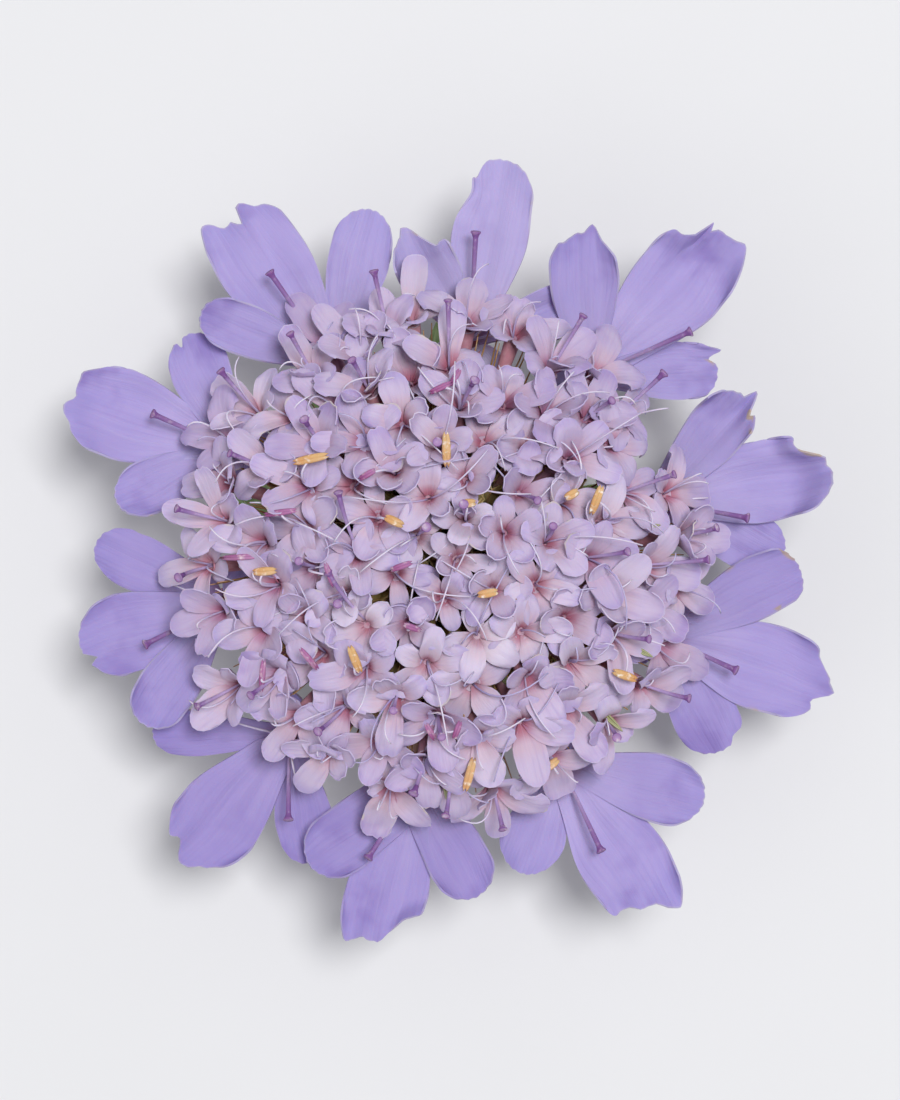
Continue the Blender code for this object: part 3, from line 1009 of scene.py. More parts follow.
def settle(
    work: Patchwork, name: str, materials: Sequence[Material], *nodes: str, slot: str,
    thickness: float = 0.0, weld: bool = True,
) -> None:
    """Writes a patchwork as a piece that rides on the flower.

    Args:
        work: The patchwork.
        name: Name of the piece.
        materials: Its materials, in slot order.
        nodes: CAD nodes that the piece stands for.
        slot: Finish slot of the piece; not used.
        thickness: Thickness that a sheet gets, in metres, or 0 for closed surfaces.
        weld: Whether vertices in one place become one, which closes seams and poles.
    """
    piece = work.write(name, materials, weld)
    if thickness > 0.0:
        thicken(piece, thickness)
    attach(piece, "root")
    if nodes:
        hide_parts(*nodes)
    LOG.info("%s: %d faces", piece.name, len(piece.data.polygons))


# The grids of a ray floret's large and small lobes and of a disc floret's lobes
LARGE_LOBES = LobeGrid(
    rows=30, columns=31, claw=0.55 * MM, dip=0.9 * MM, dip_reach=0.9 * MM, wrap=0.75,
    wrap_reach=1.0 * MM, relief=1.9,
)
SMALL_LOBES = LobeGrid(
    rows=14, columns=13, claw=0.5 * MM, dip=0.8 * MM, dip_reach=0.7 * MM, wrap=0.7,
    wrap_reach=0.8 * MM,
)
DISC_LOBES = LobeGrid(
    rows=8, columns=9, claw=0.26 * MM, dip=0.6 * MM, dip_reach=0.42 * MM, wrap=0.7,
    wrap_reach=0.6 * MM,
)

# A ray floret's two small lobes stand this many degrees to each side of its middle lobe
SMALL_LOBE_TURN = 138.0


@dataclass
class RayFlorets:
    """The ten ray florets, each its own piece, with their styles and threads."""

    finishes: Finishes
    throat_height: float = 11.2 * MM
    throat_radius: float = 0.95 * MM
    tube_radius: float = 0.5 * MM
    foot_radius: float = 4.3 * MM
    foot_height: float = 9.5 * MM
    thickness: float = 0.12 * MM
    style_rise: float = 2.5 * MM
    small_width: float = 2.0 * MM
    threads_each: int = 3

    def build(self) -> None:
        """Builds every ray floret."""
        draw = np.random.default_rng(SEED)
        styles, stigmas, threads = Patchwork(), Patchwork(), Patchwork()
        nodes = [f"ray_floret_{number + 1:02d}" for number in range(len(RAYS))]
        for number, ray in enumerate(RAYS):
            out = direction(ray.azimuth)
            throat = on_head(out * ray.reach * MM, self.throat_height)
            work = Patchwork()
            self.add_lobes(work, ray, throat, draw)
            self.add_tube(work, ray, throat, out)
            settle(
                work, f"ray_corolla_{number + 1:02d}", [self.finishes.ray, self.finishes.tube],
                nodes[number], slot="ray_floret", thickness=self.thickness, weld=False,
            )
            self.add_style(styles, stigmas, ray, throat)
            self.add_threads(threads, throat, out, draw)
        settle(styles, "ray_styles", [self.finishes.style], *nodes, slot="ray_floret")
        settle(stigmas, "ray_stigmas", [self.finishes.stigma], *nodes, slot="ray_floret")
        settle(threads, "ray_filaments", [self.finishes.filament], slot="ray_floret")

    def add_lobes(
        self, work: Patchwork, ray: RayShape, throat: Array, draw: np.random.Generator,
    ) -> None:
        """Adds the three large lobes and the two small inner ones of a floret.

        Args:
            work: The floret's patchwork.
            ray: The floret's shape.
            throat: Place of its throat, (3,).
            draw: Random numbers for its ragged rims, waves, tones and small lobes.
        """
        shapes = (ray.middle, ray.left, ray.right)
        length, width, lift, curl, ruffle, depth = MM * np.array([
            (s.length, s.width, s.lift, s.curl, s.ruffle, s.round * s.width / 2.0) for s in shapes
        ]).T
        fold, base, broadest, pinch = np.array([
            (s.fold, s.base, s.broadest, s.pinch) for s in shapes
        ]).T
        u = LARGE_LOBES.across
        teeth = np.array([sum((t.rim(u) for t in s.teeth), np.zeros_like(u)) for s in shapes])
        ragged = np.outer(draw.uniform(17.0, 23.0, 3), u) + draw.uniform(0.0, 6.0, (3, 1))
        rim = LARGE_LOBES.rounded(depth) + (teeth + 0.04 * np.sin(ragged)) * MM
        phase = draw.uniform(0.0, 2.0 * np.pi, 3)
        lobes = Lobes(length, width, lift, rim, curl, fold, ruffle, phase, base, broadest, pinch)
        out = direction(np.array([ray.azimuth + s.turn for s in shapes]))
        # The ray's set tone carries painted light and painted shade; the random parts are each
        # lobe's own tone
        tone = ray.tone + 0.3 * draw.uniform(-0.25, 0.25) + draw.uniform(-0.15, 0.15, 3)
        axis = np.broadcast_to(UP, (3, 3))
        throats = np.broadcast_to(throat, (3, 3))
        LARGE_LOBES.place(work, throats, out, axis, np.zeros(3), lobes, tone)

        two = np.ones(2)
        lobes = Lobes(
            length=draw.uniform(2.3, 2.9, 2) * MM, width=self.small_width * two,
            lift=draw.uniform(0.5, 0.9, 2) * MM,
            rim=SMALL_LOBES.rounded(0.45 * self.small_width * two), curl=0.0 * two,
            fold=0.3 * two, ruffle=0.05 * two * MM, phase=draw.uniform(0.0, 6.0, 2),
            base=0.6 * two, broadest=0.6 * two, pinch=0.0 * two,
        )
        out = direction(ray.azimuth + np.array((SMALL_LOBE_TURN, -SMALL_LOBE_TURN)))
        SMALL_LOBES.place(work, throats[:2], out, axis[:2], np.zeros(2), lobes, tone[:2] + 0.5)

    def add_tube(self, work: Patchwork, ray: RayShape, throat: Array, out: Array) -> None:
        """Adds the floret's tube, which leaves the receptacle level and turns up into the throat.

        Its radius grows a little along it, and then smoothly to the throat's.

        Args:
            work: The floret's patchwork.
            ray: The floret's shape.
            throat: Place of its throat, (3,).
            out: Level direction from the middle of the head to the floret, (3,).
        """
        foot = on_head(out * self.foot_radius, self.foot_height)
        elbow = on_head(out * (ray.reach - 0.4) * MM, self.foot_height - 0.3 * MM)
        t = np.linspace(0.0, 1.0, 16)
        path = bend(foot, elbow, throat - UP * 0.55 * MM, len(t))[None]
        widening = self.throat_radius - self.tube_radius - 0.1 * MM
        radius = self.tube_radius + 0.1 * MM * t + widening * smoothstep((t - 0.55) / 0.45)
        work.add(tube_grid(path, radius, 16, capped=False), np.zeros(1), slot=1, closed=True)

    def add_style(
        self, styles: Patchwork, stigmas: Patchwork, ray: RayShape, throat: Array,
    ) -> None:
        """Adds the style, which rises out of the throat over the middle lobe, and its cup-like tip.

        Args:
            styles: Patchwork of the styles.
            stigmas: Patchwork of their tips.
            ray: The floret's shape.
            throat: Place of its throat, (3,).
        """
        lean = direction(ray.azimuth + ray.style_turn)
        length = ray.style_length * MM
        tip = throat + lean * length + UP * self.style_rise
        middle = throat + lean * 0.45 * length + UP * 0.68 * self.style_rise
        path = bend(throat - UP * 1.2 * MM, middle, tip, 18)[None]
        add_rods(styles, path, (0.065, 0.16), 10, np.zeros(1))
        add_stigmas(stigmas, path, np.ones(1))

    def add_threads(
        self, work: Patchwork, throat: Array, out: Array, draw: np.random.Generator,
    ) -> None:
        """Adds the bare white threads of a floret's stamens, which arch out of its throat.

        Args:
            work: Patchwork of the threads.
            throat: Place of the throat, (3,).
            out: Level direction from the middle of the head to the floret, (3,).
            draw: Random numbers for their arches.
        """
        count = self.threads_each
        azimuth = np.degrees(np.arctan2(out[1], out[0]))
        lean = direction(azimuth + draw.uniform(-110.0, 110.0, count))
        start = np.broadcast_to(throat - UP * 0.8 * MM, (count, 3))
        reach = draw.uniform(1.6, 3.2, (count, 1)) * MM
        middle = throat + lean * reach * 0.3 + UP * draw.uniform(2.0, 3.4, (count, 1)) * MM
        end = throat + lean * reach + UP * draw.uniform(0.9, 2.2, (count, 1)) * MM
        path = bend(start, middle, end, 12)
        add_rods(work, path, (0.09, 0.05), 6, draw.uniform(-0.5, 0.5, count))


def turn_profile(profile: Array, place: Array, axis: Array, size: Array, sides: int) -> Array:
    """Turns a profile about an axis at each of many places.

    Each point is the place plus size times (radius times a point of a unit circle square to the
    axis, plus height times the axis).

    Args:
        profile: Radius and height of each row, (rows, 2).
        place: Where each copy's origin lies, (copies, 3).
        axis: Each copy's axis, (copies, 3).
        size: Scale of each copy, (copies,).
        sides: Points on a ring.

    Returns:
        The grid, (copies, rows, sides, 3), whose faces look outwards where the profile rises.
    """
    side = unit(np.cross(axis, LEANING))
    ring = rings(side, np.cross(axis, side), sides)
    radius, height = profile.T[:, None, :, None, None] * size[None, :, None, None, None]
    return place[:, None, None, :] + ring[:, None] * radius + axis[:, None, None, :] * height


# Radius and height, in millimetres, from under the stigma over its rim to its shallow hollow
STIGMA_PROFILE = (
    (0.0, -0.34), (0.14, -0.34), (0.16, -0.12), (0.22, 0.06), (0.31, 0.18), (0.3, 0.25),
    (0.19, 0.19), (0.0, 0.13),
)


def add_stigmas(work: Patchwork, path: Array, size: Array) -> None:
    """Adds cup-like stigmas: a profile turned about the end of each style.

    Args:
        work: The patchwork.
        path: The styles' centre lines, (styles, points, 3).
        size: Scale of each stigma, (styles,).
    """
    axis = unit(path[:, -1] - path[:, -2])
    grid = turn_profile(np.array(STIGMA_PROFILE) * MM, path[:, -1], axis, size, 12)
    work.add(grid, np.zeros(len(size)), closed=True)


# The styles of the outer disc florets as the photo shows them: radius in millimetres and azimuth
# in degrees of the root, then of the tip, about the middle of the head
OUTER_STYLES = (
    (12.6, 125, 15.0, 124), (13.0, 103, 16.4, 103), (10.3, 113, 11.9, 114),
    (13.4, 142, 16.2, 140), (10.8, 87, 14.2, 88), (12.5, 59, 15.7, 59), (13.2, 38, 16.3, 39),
    (11.7, 43, 13.0, 42), (11.2, 19, 13.9, 19), (11.8, -3, 15.1, -1), (8.5, -1, 10.4, 1),
    (10.7, -25, 12.6, -22), (14.0, -33, 16.4, -30), (13.9, -77, 16.0, -77),
    (11.8, -94, 13.4, -96), (13.9, -147, 16.3, -148), (12.5, 171, 15.0, 170),
    (10.9, 153, 13.0, 154), (9.2, 137, 10.6, 135), (4.7, 180, 6.5, 149), (5.8, -136, 6.2, -170),
)

# Outer florets with no style of their own in the photo: radius and azimuth in the same way
BARE_FLORETS = (
    (12.6, -86.7), (11.7, 33.0), (12.8, 161.0),
)

# Tips of green scales that show between the florets: radius and azimuth in the same way
SEEN_SCALES = (
    (12.5, -25.5), (13.6, -43.9), (10.9, 133.3), (13.0, -88.4), (11.7, 7.8),
)

# Gaps between the florets that show through to the ground: radius and azimuth in the same way,
# and how far from it, in millimetres, the lobes are shortened
SEEN_GAPS = (
    (15.6, 136, 1.5), (13.9, 130.5, 1.2), (13.7, 24, 1.7), (16.4, 31, 1.7), (11.4, -175, 1.6),
    (15.6, 177.5, 2.4), (14.2, -111, 1.9), (11.3, 72.5, 1.5), (15.2, 105, 1.3), (15.6, 76, 1.8),
    (15.9, -42, 2.2), (12.9, 92, 1.3), (16.8, 71, 1.8),
)


@dataclass
class Head:
    """The dome of disc florets: where each floret opens and along which axis.

    The first florets stand where the photo shows the roots of the outer styles. The others
    start on the spiral of the golden angle and are then pushed apart until they are even. A
    floret's share is its distance from the middle as a share of the radius, and the tilt is the
    angle in degrees at which the outermost florets lean out.
    """

    count: int = 99
    radius: float = 13.8 * MM
    spacing: float = 2.85 * MM
    rim_height: float = 12.6 * MM
    rise: float = 7.2 * MM
    tilt: float = 46.0
    foot_radius: float = 3.5 * MM
    foot_height: float = 10.35 * MM
    spread_rounds: int = 60

    def __post_init__(self) -> None:
        """Works out the places of all florets."""
        draw = np.random.default_rng(SEED + 1)
        self.styles = np.array(OUTER_STYLES)
        gaps = np.array(SEEN_GAPS)
        self.gaps, self.gap_reach = gaps[:, :1] * MM * direction(gaps[:, 1])[:, :2], gaps[:, 2] * MM
        fixed = np.concatenate((self.styles[:, :2], np.array(BARE_FLORETS)))
        flat = self.spread(fixed[:, :1] * MM * direction(fixed[:, 1])[:, :2])
        self.share = np.linalg.norm(flat, axis=1) / self.radius
        self.out = direction(np.degrees(np.arctan2(flat[:, 1], flat[:, 0])))
        tilt = np.radians(self.tilt * self.share ** 1.3 + draw.uniform(-7.0, 7.0, self.count))
        self.axis = unit(self.out * np.sin(tilt)[:, None] + UP * np.cos(tilt)[:, None])
        along_axis = np.sum(self.out * self.axis, axis=1, keepdims=True)
        self.outward = unit(self.out - self.axis * along_axis)
        height = self.height(self.share) + draw.uniform(-0.45, 0.45, self.count) * MM
        self.throat = on_head(self.out * (self.radius * self.share)[:, None], height[:, None])
        foot_height = (self.foot_height - 0.6 * MM * self.share ** 2)[:, None]
        self.foot = on_head(self.out * (self.foot_radius * self.share)[:, None], foot_height)
        self.size = 0.8 + 0.25 * np.minimum(self.share * 1.6, 1.0)
        self.tone = draw.uniform(-0.5, 0.5, self.count) + 0.4 * (0.6 - self.share)

    def spread(self, fixed: Array) -> Array:
        """Spreads the florets evenly, seen from above.

        In each round a floret moves away from those nearer than the spacing, which is a fifth
        tighter in the middle, and from the gaps. A floret's distance from itself counts as a
        metre.

        Args:
            fixed: Places that stay, (fixed, 2).

        Returns:
            All the places, (count, 2), the fixed ones first.
        """
        free = self.count - len(fixed)
        index = np.arange(free)
        spiral = self.radius * np.sqrt((index + 0.4) / free)[:, None]
        spiral = spiral * direction(index * GOLDEN_ANGLE)[:, :2]
        flat = np.concatenate((fixed, spiral))
        moves = (np.arange(self.count) >= len(fixed))[:, None]
        for _ in range(self.spread_rounds):
            gap = flat[:, None] - flat[None]
            distance = np.linalg.norm(gap, axis=2) + np.eye(self.count)
            closeness = 0.8 + 0.2 * np.linalg.norm(flat, axis=1) / self.radius
            wanted = self.spacing * (closeness[:, None] + closeness[None]) / 2.0
            push = gap / distance[..., None] * np.maximum(0.0, wanted - distance)[..., None]
            gap = flat[:, None] - self.gaps[None]
            distance = np.linalg.norm(gap, axis=2, keepdims=True)
            clear = 0.6 * self.spacing + 0.3 * self.gap_reach[:, None]
            away = gap / distance * np.maximum(0.0, clear - distance)
            flat = flat + 0.2 * moves * (np.sum(push, axis=1) + 2.0 * np.sum(away, axis=1))
            reach = np.linalg.norm(flat, axis=1, keepdims=True)
            flat = np.where(moves, flat * np.minimum(1.0, self.radius / reach), flat)
        return flat

    def height(self, share: Array) -> Array:
        """Returns the dome's height at a share of its radius: an ellipse's arc above its rim."""
        return self.rim_height + self.rise * np.sqrt(1.0 - 0.9 * np.minimum(share, 1.05) ** 2)


# Radius and height, in millimetres, of the funnel that closes a disc floret's throat
THROAT_PROFILE = ((0.5, -0.38), (0.36, -0.55), (0.16, -0.66), (0.0, -0.68))


@dataclass
class DiscFlorets:
    """The small florets of the dome, with their styles, threads, bristles, cups and scales."""

    finishes: Finishes
    head: Head
    lobes_each: int = 5
    lobe_length: float = 2.6 * MM
    lobe_width: float = 1.6 * MM
    length_spread: tuple[float, float] = (0.82, 1.14)
    width_spread: tuple[float, float] = (0.78, 1.12)
    outward_length: float = 0.38
    outward_width: float = 0.1
    openness: tuple[float, float] = (-4.0, 36.0)
    lobe_rise: tuple[float, float] = (-18.0, 26.0)
    tube_radius: float = 0.28 * MM
    mouth_widening: float = 0.18 * MM
    thickness: float = 0.07 * MM
    outer_share: float = 0.62
    inner_styled: float = 0.22
    threads_each: int = 2
    threads: int = 180
    bristles_each: int = 5
    cup_thickness: float = 0.1 * MM
    hidden_scales: int = 20
    scale_width: float = 0.62 * MM
    scale_thickness: float = 0.12 * MM

    def build(self) -> None:
        """Builds all the parts of the disc."""
        self.build_corollas()
        self.build_styles()
        self.build_threads()
        self.build_bristles()
        self.build_involucels()
        self.build_scales()

    def build_corollas(self) -> None:
        """Builds the corollas, the inner and the outer ones as two pieces."""
        outer = self.head.share > self.outer_share
        self.build_corolla_ring("disc_corollas_inner", ~outer, SEED + 2)
        self.build_corolla_ring("disc_corollas_outer", outer, SEED + 8)

    def build_corolla_ring(self, name: str, chosen: Array, seed: int) -> None:
        """Builds the chosen corollas: five blunt lobes on each tube.

        The lobes that face outwards are longer, the more so nearer the rim, and those that reach
        towards a gap are shorter. Each corolla is more or less open: its lobes rise from the face
        of the floret by an angle that they share and by their own angles. Some ends are notched.

        Args:
            name: Name of the piece.
            chosen: Whether each floret is in it, (florets,).
            seed: Seed of its random numbers.
        """
        draw = np.random.default_rng(seed)
        head, count, each = self.head, int(np.sum(chosen)), self.lobes_each
        share, axis, outward = head.share[chosen], head.axis[chosen], head.outward[chosen]
        throat, step = head.throat[chosen], 360.0 / each
        aligned, free = draw.uniform(-16.0, 16.0, count), draw.uniform(0.0, step, count)
        spin = np.where(share > 0.55, aligned, free)[:, None]
        angle = np.radians(spin + step * np.arange(each) + draw.uniform(-8.0, 8.0, (count, each)))
        facing = np.maximum(np.cos(angle), -0.4) * np.minimum(share[:, None] * 1.15, 1.0) ** 1.5
        size = head.size[chosen][:, None]
        length = self.lobe_length * size * (1.0 + self.outward_length * facing)
        length = length * draw.uniform(*self.length_spread, (count, each))
        width = self.lobe_width * size * (1.0 + self.outward_width * facing)
        width = width * draw.uniform(*self.width_spread, (count, each))
        rise = draw.uniform(*self.openness, (count, 1))
        rise = rise + draw.uniform(*self.lobe_rise, (count, each))
        rise = np.radians(rise * (1.0 - 0.35 * np.maximum(facing, 0.0)))
        side = np.cross(axis, outward)
        out = np.cos(angle)[..., None] * outward[:, None] + np.sin(angle)[..., None] * side[:, None]
        parts = np.linspace(0.5, 1.0, 4)[:, None, None, None]
        points = (throat - HEAD_CENTRE)[:, None] + out * length[..., None] * parts
        clear = np.linalg.norm(points[..., None, :2] - head.gaps, axis=-1) / head.gap_reach
        length = length * (0.5 + 0.5 * smoothstep(clear.min(axis=(0, -1))))
        total = count * each
        depth = width.reshape(-1) * draw.uniform(0.45, 0.62, total)
        notch = np.maximum(0.0, draw.uniform(-0.3, 0.25, (total, 1))) * MM
        notch = notch * np.exp(-((DISC_LOBES.across / 0.3) ** 2))
        lobes = Lobes(
            length=length.reshape(-1), width=width.reshape(-1),
            lift=draw.uniform(-0.5, 0.35, total) * MM, rim=DISC_LOBES.rounded(depth) - notch,
            curl=draw.uniform(-0.35, 0.35, total) * MM, fold=draw.uniform(0.0, 0.6, total),
            ruffle=draw.uniform(0.0, 0.08, total) * MM, phase=draw.uniform(0.0, 6.0, total),
            base=np.full(total, 0.55), broadest=draw.uniform(0.4, 0.7, total),
            pinch=np.zeros(total),
        )
        work = Patchwork()
        repeat = np.repeat(np.arange(count), each)
        tone = head.tone[chosen][repeat] + draw.uniform(-0.25, 0.25, total)
        rise = rise.reshape(-1)
        DISC_LOBES.place(work, throat[repeat], out.reshape(-1, 3), axis[repeat], rise, lobes, tone)
        self.add_corolla_tubes(work, chosen, tone[::each])
        materials = [self.finishes.disc, self.finishes.tube]
        settle(work, name, materials, "disc_florets", slot="disc_floret", thickness=self.thickness)

    def add_corolla_tubes(self, work: Patchwork, chosen: Array, tone: Array) -> None:
        """Adds the chosen corollas' tubes, and the funnels that close their throats.

        A tube has one radius up to t = 0.6 of its length and then widens by a power of t.

        Args:
            work: The patchwork.
            chosen: Whether each floret is in it, (florets,).
            tone: Tone of each chosen floret's funnel.
        """
        head, sides = self.head, 10
        throat, foot, axis = head.throat[chosen], head.foot[chosen], head.axis[chosen]
        middle = foot + (throat - foot) * 0.45 + axis * 0.4 * MM + UP * 0.6 * MM
        t = np.linspace(0.0, 1.0, 10)
        path = bend(foot, middle, throat - axis * 0.5 * MM, len(t))
        radius = self.tube_radius + self.mouth_widening * np.maximum(0.0, (t - 0.6) / 0.4) ** 1.6
        grid = tube_grid(path, radius, sides, capped=False)
        work.add(grid, head.tone[chosen], slot=1, closed=True)
        profile = np.array(THROAT_PROFILE) * MM
        funnel = turn_profile(profile, throat, axis, np.ones(len(tone)), sides)
        along = np.linspace(0.3, 0.05, len(profile))
        work.add(funnel, tone, along, across=np.array(0.5), closed=True)

    def build_styles(self) -> None:
        """Builds the styles: the photo's own at the rim, and some shorter ones further in."""
        draw = np.random.default_rng(SEED + 3)
        head = self.head
        seen = len(head.styles)
        inner = seen + np.flatnonzero(draw.uniform(0.0, 1.0, head.count - seen) < self.inner_styled)
        owner = np.concatenate((np.arange(seen), inner))
        axis, throat = head.axis[owner], head.throat[owner]
        count = len(owner)
        lean = direction(draw.uniform(0.0, 360.0, count)) * draw.uniform(0.2, 0.9, (count, 1)) * MM
        tip = throat + axis * draw.uniform(1.8, 2.6, (count, 1)) * MM + lean
        tip[:seen] = HEAD_CENTRE + head.styles[:, 2:3] * MM * direction(head.styles[:, 3])
        tip[:seen, 2] = throat[:seen, 2] + (2.4 - 1.2 * head.share[:seen]) * MM
        middle = (throat + tip) / 2.0 + axis * 0.35 * MM
        path = bend(throat - axis * 0.9 * MM, middle, tip, 10)
        styles, stigmas = Patchwork(), Patchwork()
        add_rods(styles, path, (0.06, 0.15), 8, draw.uniform(-0.4, 0.6, count))
        add_stigmas(stigmas, path, draw.uniform(0.8, 1.0, count))
        settle(styles, "disc_styles", [self.finishes.style], "disc_florets", slot="disc_floret")
        settle(stigmas, "disc_stigmas", [self.finishes.stigma], "disc_florets", slot="disc_floret")

    def build_threads(self) -> None:
        """Builds the bare threads of the stamens, which arch out of the throats."""
        draw = np.random.default_rng(SEED + 4)
        head = self.head
        owner = draw.permutation(np.repeat(np.arange(head.count), self.threads_each))[:self.threads]
        axis, throat = head.axis[owner], head.throat[owner]
        count = len(owner)
        lean = unit(direction(draw.uniform(0.0, 360.0, count)) + 0.3 * head.out[owner])
        swerve = np.cross(UP, lean) * draw.uniform(-1.3, 1.3, (count, 1)) * MM
        rise = draw.uniform(1.0, 2.3, (count, 1)) * MM
        shorter = 0.45 * smoothstep((head.share[owner, None] - 0.6) / 0.3)
        reach = draw.uniform(0.8, 4.8, (count, 1)) * MM * (1.0 - shorter)
        middle = throat + axis * rise * 1.3 + lean * reach * 0.25 + swerve
        end = throat + axis * rise * draw.uniform(0.5, 0.9, (count, 1)) + lean * reach
        path = bend(throat - axis * 0.7 * MM, middle, end, 11)
        work = Patchwork()
        add_rods(work, path, (0.065, 0.045), 5, draw.uniform(-1.0, 1.0, count))
        settle(work, "disc_filaments", [self.finishes.filament], "disc_florets", slot="disc_floret")

    def build_bristles(self) -> None:
        """Builds the calyx bristles: stiff needles round each tube, ending below the lobes."""
        draw = np.random.default_rng(SEED + 5)
        head, each = self.head, self.bristles_each
        owner = np.repeat(np.arange(head.count), each)
        axis, throat = head.axis[owner], head.throat[owner]
        count = len(owner)
        side = np.cross(head.axis, head.outward)[owner]
        angle = np.tile(np.arange(each) * 360.0 / each, head.count)
        angle = np.radians(angle + draw.uniform(-20.0, 20.0, count))[:, None]
        away = np.cos(angle) * head.outward[owner] + np.sin(angle) * side
        depth = draw.uniform(0.0, 1.1, (count, 1)) * MM
        start = head.foot[owner] + (throat - head.foot[owner]) * 0.45
        end = throat - axis * depth + away * draw.uniform(0.9, 1.5, (count, 1)) * MM
        path = bend(start, start + (end - start) * 0.5 + away * 0.35 * MM, end, 5)
        work = Patchwork()
        add_rods(work, path, (0.11, 0.03), 4, draw.uniform(-0.5, 0.5, count))
        settle(work, "calyx_bristles", [self.finishes.bristle], "disc_florets", slot="disc_floret")

    def build_involucels(self) -> None:
        """Builds the involucels: a ribbed cup round each tube's foot with a thin spreading crown.

        With t from 0 at the foot to 1 at the crown, the radius swells by a sine and then spreads
        smoothly, and a small cosine of eight times the angle ribs it.
        """
        head = self.head
        t = np.linspace(0.0, 1.0, 9)
        end = head.foot + (head.throat - head.foot) * 0.68
        path = head.foot[:, None] + (end - head.foot)[:, None] * t[None, :, None]
        crown = smoothstep((t - 0.76) / 0.24)
        radius = (0.35 + 0.3 * np.sin(np.pi * np.minimum(t * 1.1, 1.0)) + 0.95 * crown) * MM
        sides = 16
        grid = tube_grid(path, radius, sides, capped=False)
        rib = 1.0 + 0.09 * np.cos(8.0 * np.linspace(0.0, 2.0 * np.pi, sides, endpoint=False))
        centre = path[:, :, None, :]
        work = Patchwork()
        work.add(centre + (grid - centre) * rib[:, None], head.tone, closed=True)
        settle(
            work, "involucels", [self.finishes.involucel], "disc_florets", slot="involucre",
            thickness=self.cup_thickness, weld=False,
        )

    def build_scales(self) -> None:
        """Builds the receptacle's scales: narrow green blades between the florets.

        A blade follows a path from the receptacle that bends outwards at its tip. With t from 0
        at the root to 1 at the tip, its half width is the sine of pi times (0.1 + 0.88 t), and it
        is folded along its middle by a third of that. A few end above the lobes, where the photo
        shows them, and the others below.
        """
        draw = np.random.default_rng(SEED + 13)
        head, seen = self.head, np.array(SEEN_SCALES)
        hidden = head.radius * np.sqrt(draw.uniform(0.0, 0.6, self.hidden_scales))
        radius = np.concatenate((seen[:, 0] * MM, hidden))
        azimuth = np.concatenate((seen[:, 1], draw.uniform(0.0, 360.0, self.hidden_scales)))
        above = np.where(np.arange(len(radius)) < len(seen), 0.7, -2.4) * MM
        top = head.height(radius / head.radius) + above
        out = direction(azimuth)
        foot = on_head(out * (head.foot_radius * radius / head.radius)[:, None], 9.9 * MM)
        bent = on_head(out * (radius - 0.3 * MM)[:, None], top[:, None])
        tip = on_head(out * (radius + 1.0 * MM)[:, None], (top - 0.3 * MM)[:, None])
        t, u = np.linspace(0.0, 1.0, 16), np.linspace(-1.0, 1.0, 5)
        path = bend(foot, bent, tip, len(t))
        half = self.scale_width / 2.0 * np.sin(np.pi * (0.1 + 0.88 * t))
        side = direction(azimuth + 90.0 + draw.uniform(-35.0, 35.0, len(azimuth)))
        fold = np.cross(unit(np.gradient(path, axis=1)), side[:, None])
        spread = (half[:, None] * u)[None, :, :, None]
        grid = path[:, :, None] + side[:, None, None] * spread
        grid = grid + fold[:, :, None] * np.abs(spread) / 3.0
        work = Patchwork()
        work.add(grid, np.zeros(len(azimuth)))
        settle(
            work, "receptacle_scales", [self.finishes.scale], "disc_florets", slot="involucre",
            thickness=self.scale_thickness, weld=False,
        )


@dataclass(frozen=True)
class Anther:
    """One anther as the photo shows it: its place in millimetres, its heading and its length."""

    x: float
    y: float
    heading: float
    length: float


ANTHERS: dict[AntherState, tuple[Anther, ...]] = {
    AntherState.OPEN: (
        Anther(-7.8, 5.1, 12, 2.1), Anther(-0.2, 5.6, 92, 2.0), Anther(1.0, 2.6, 5, 0.9),
        Anther(-3.1, 1.6, -25, 1.2), Anther(8.2, 2.8, 70, 1.8), Anther(6.8, 3.1, 30, 0.9),
        Anther(2.1, -2.4, 10, 1.2), Anther(-5.3, -6.1, 112, 1.7), Anther(9.9, -7.1, 160, 1.5),
        Anther(1.1, -12.7, 75, 2.0), Anther(-10.4, -1.2, 4, 1.4), Anther(5.8, -12.2, 40, 1.0),
    ),
    AntherState.SHUT: (
        Anther(-4.6, 4.2, 30, 1.1), Anther(-2.7, -0.9, 20, 1.3), Anther(-7.9, -6.1, 130, 1.6),
        Anther(-10.6, -7.1, 85, 1.9), Anther(-11.8, -0.4, 3, 2.2), Anther(-9.5, 2.1, 8, 2.0),
        Anther(-2.1, -4.3, 160, 1.1), Anther(-1.1, -10.2, 120, 1.1),
        Anther(0.4, -10.1, 70, 1.1), Anther(-0.5, 9.1, 25, 1.5), Anther(0.3, 9.7, 60, 1.1),
        Anther(-6.7, -1.4, 110, 1.5),
    ),
}


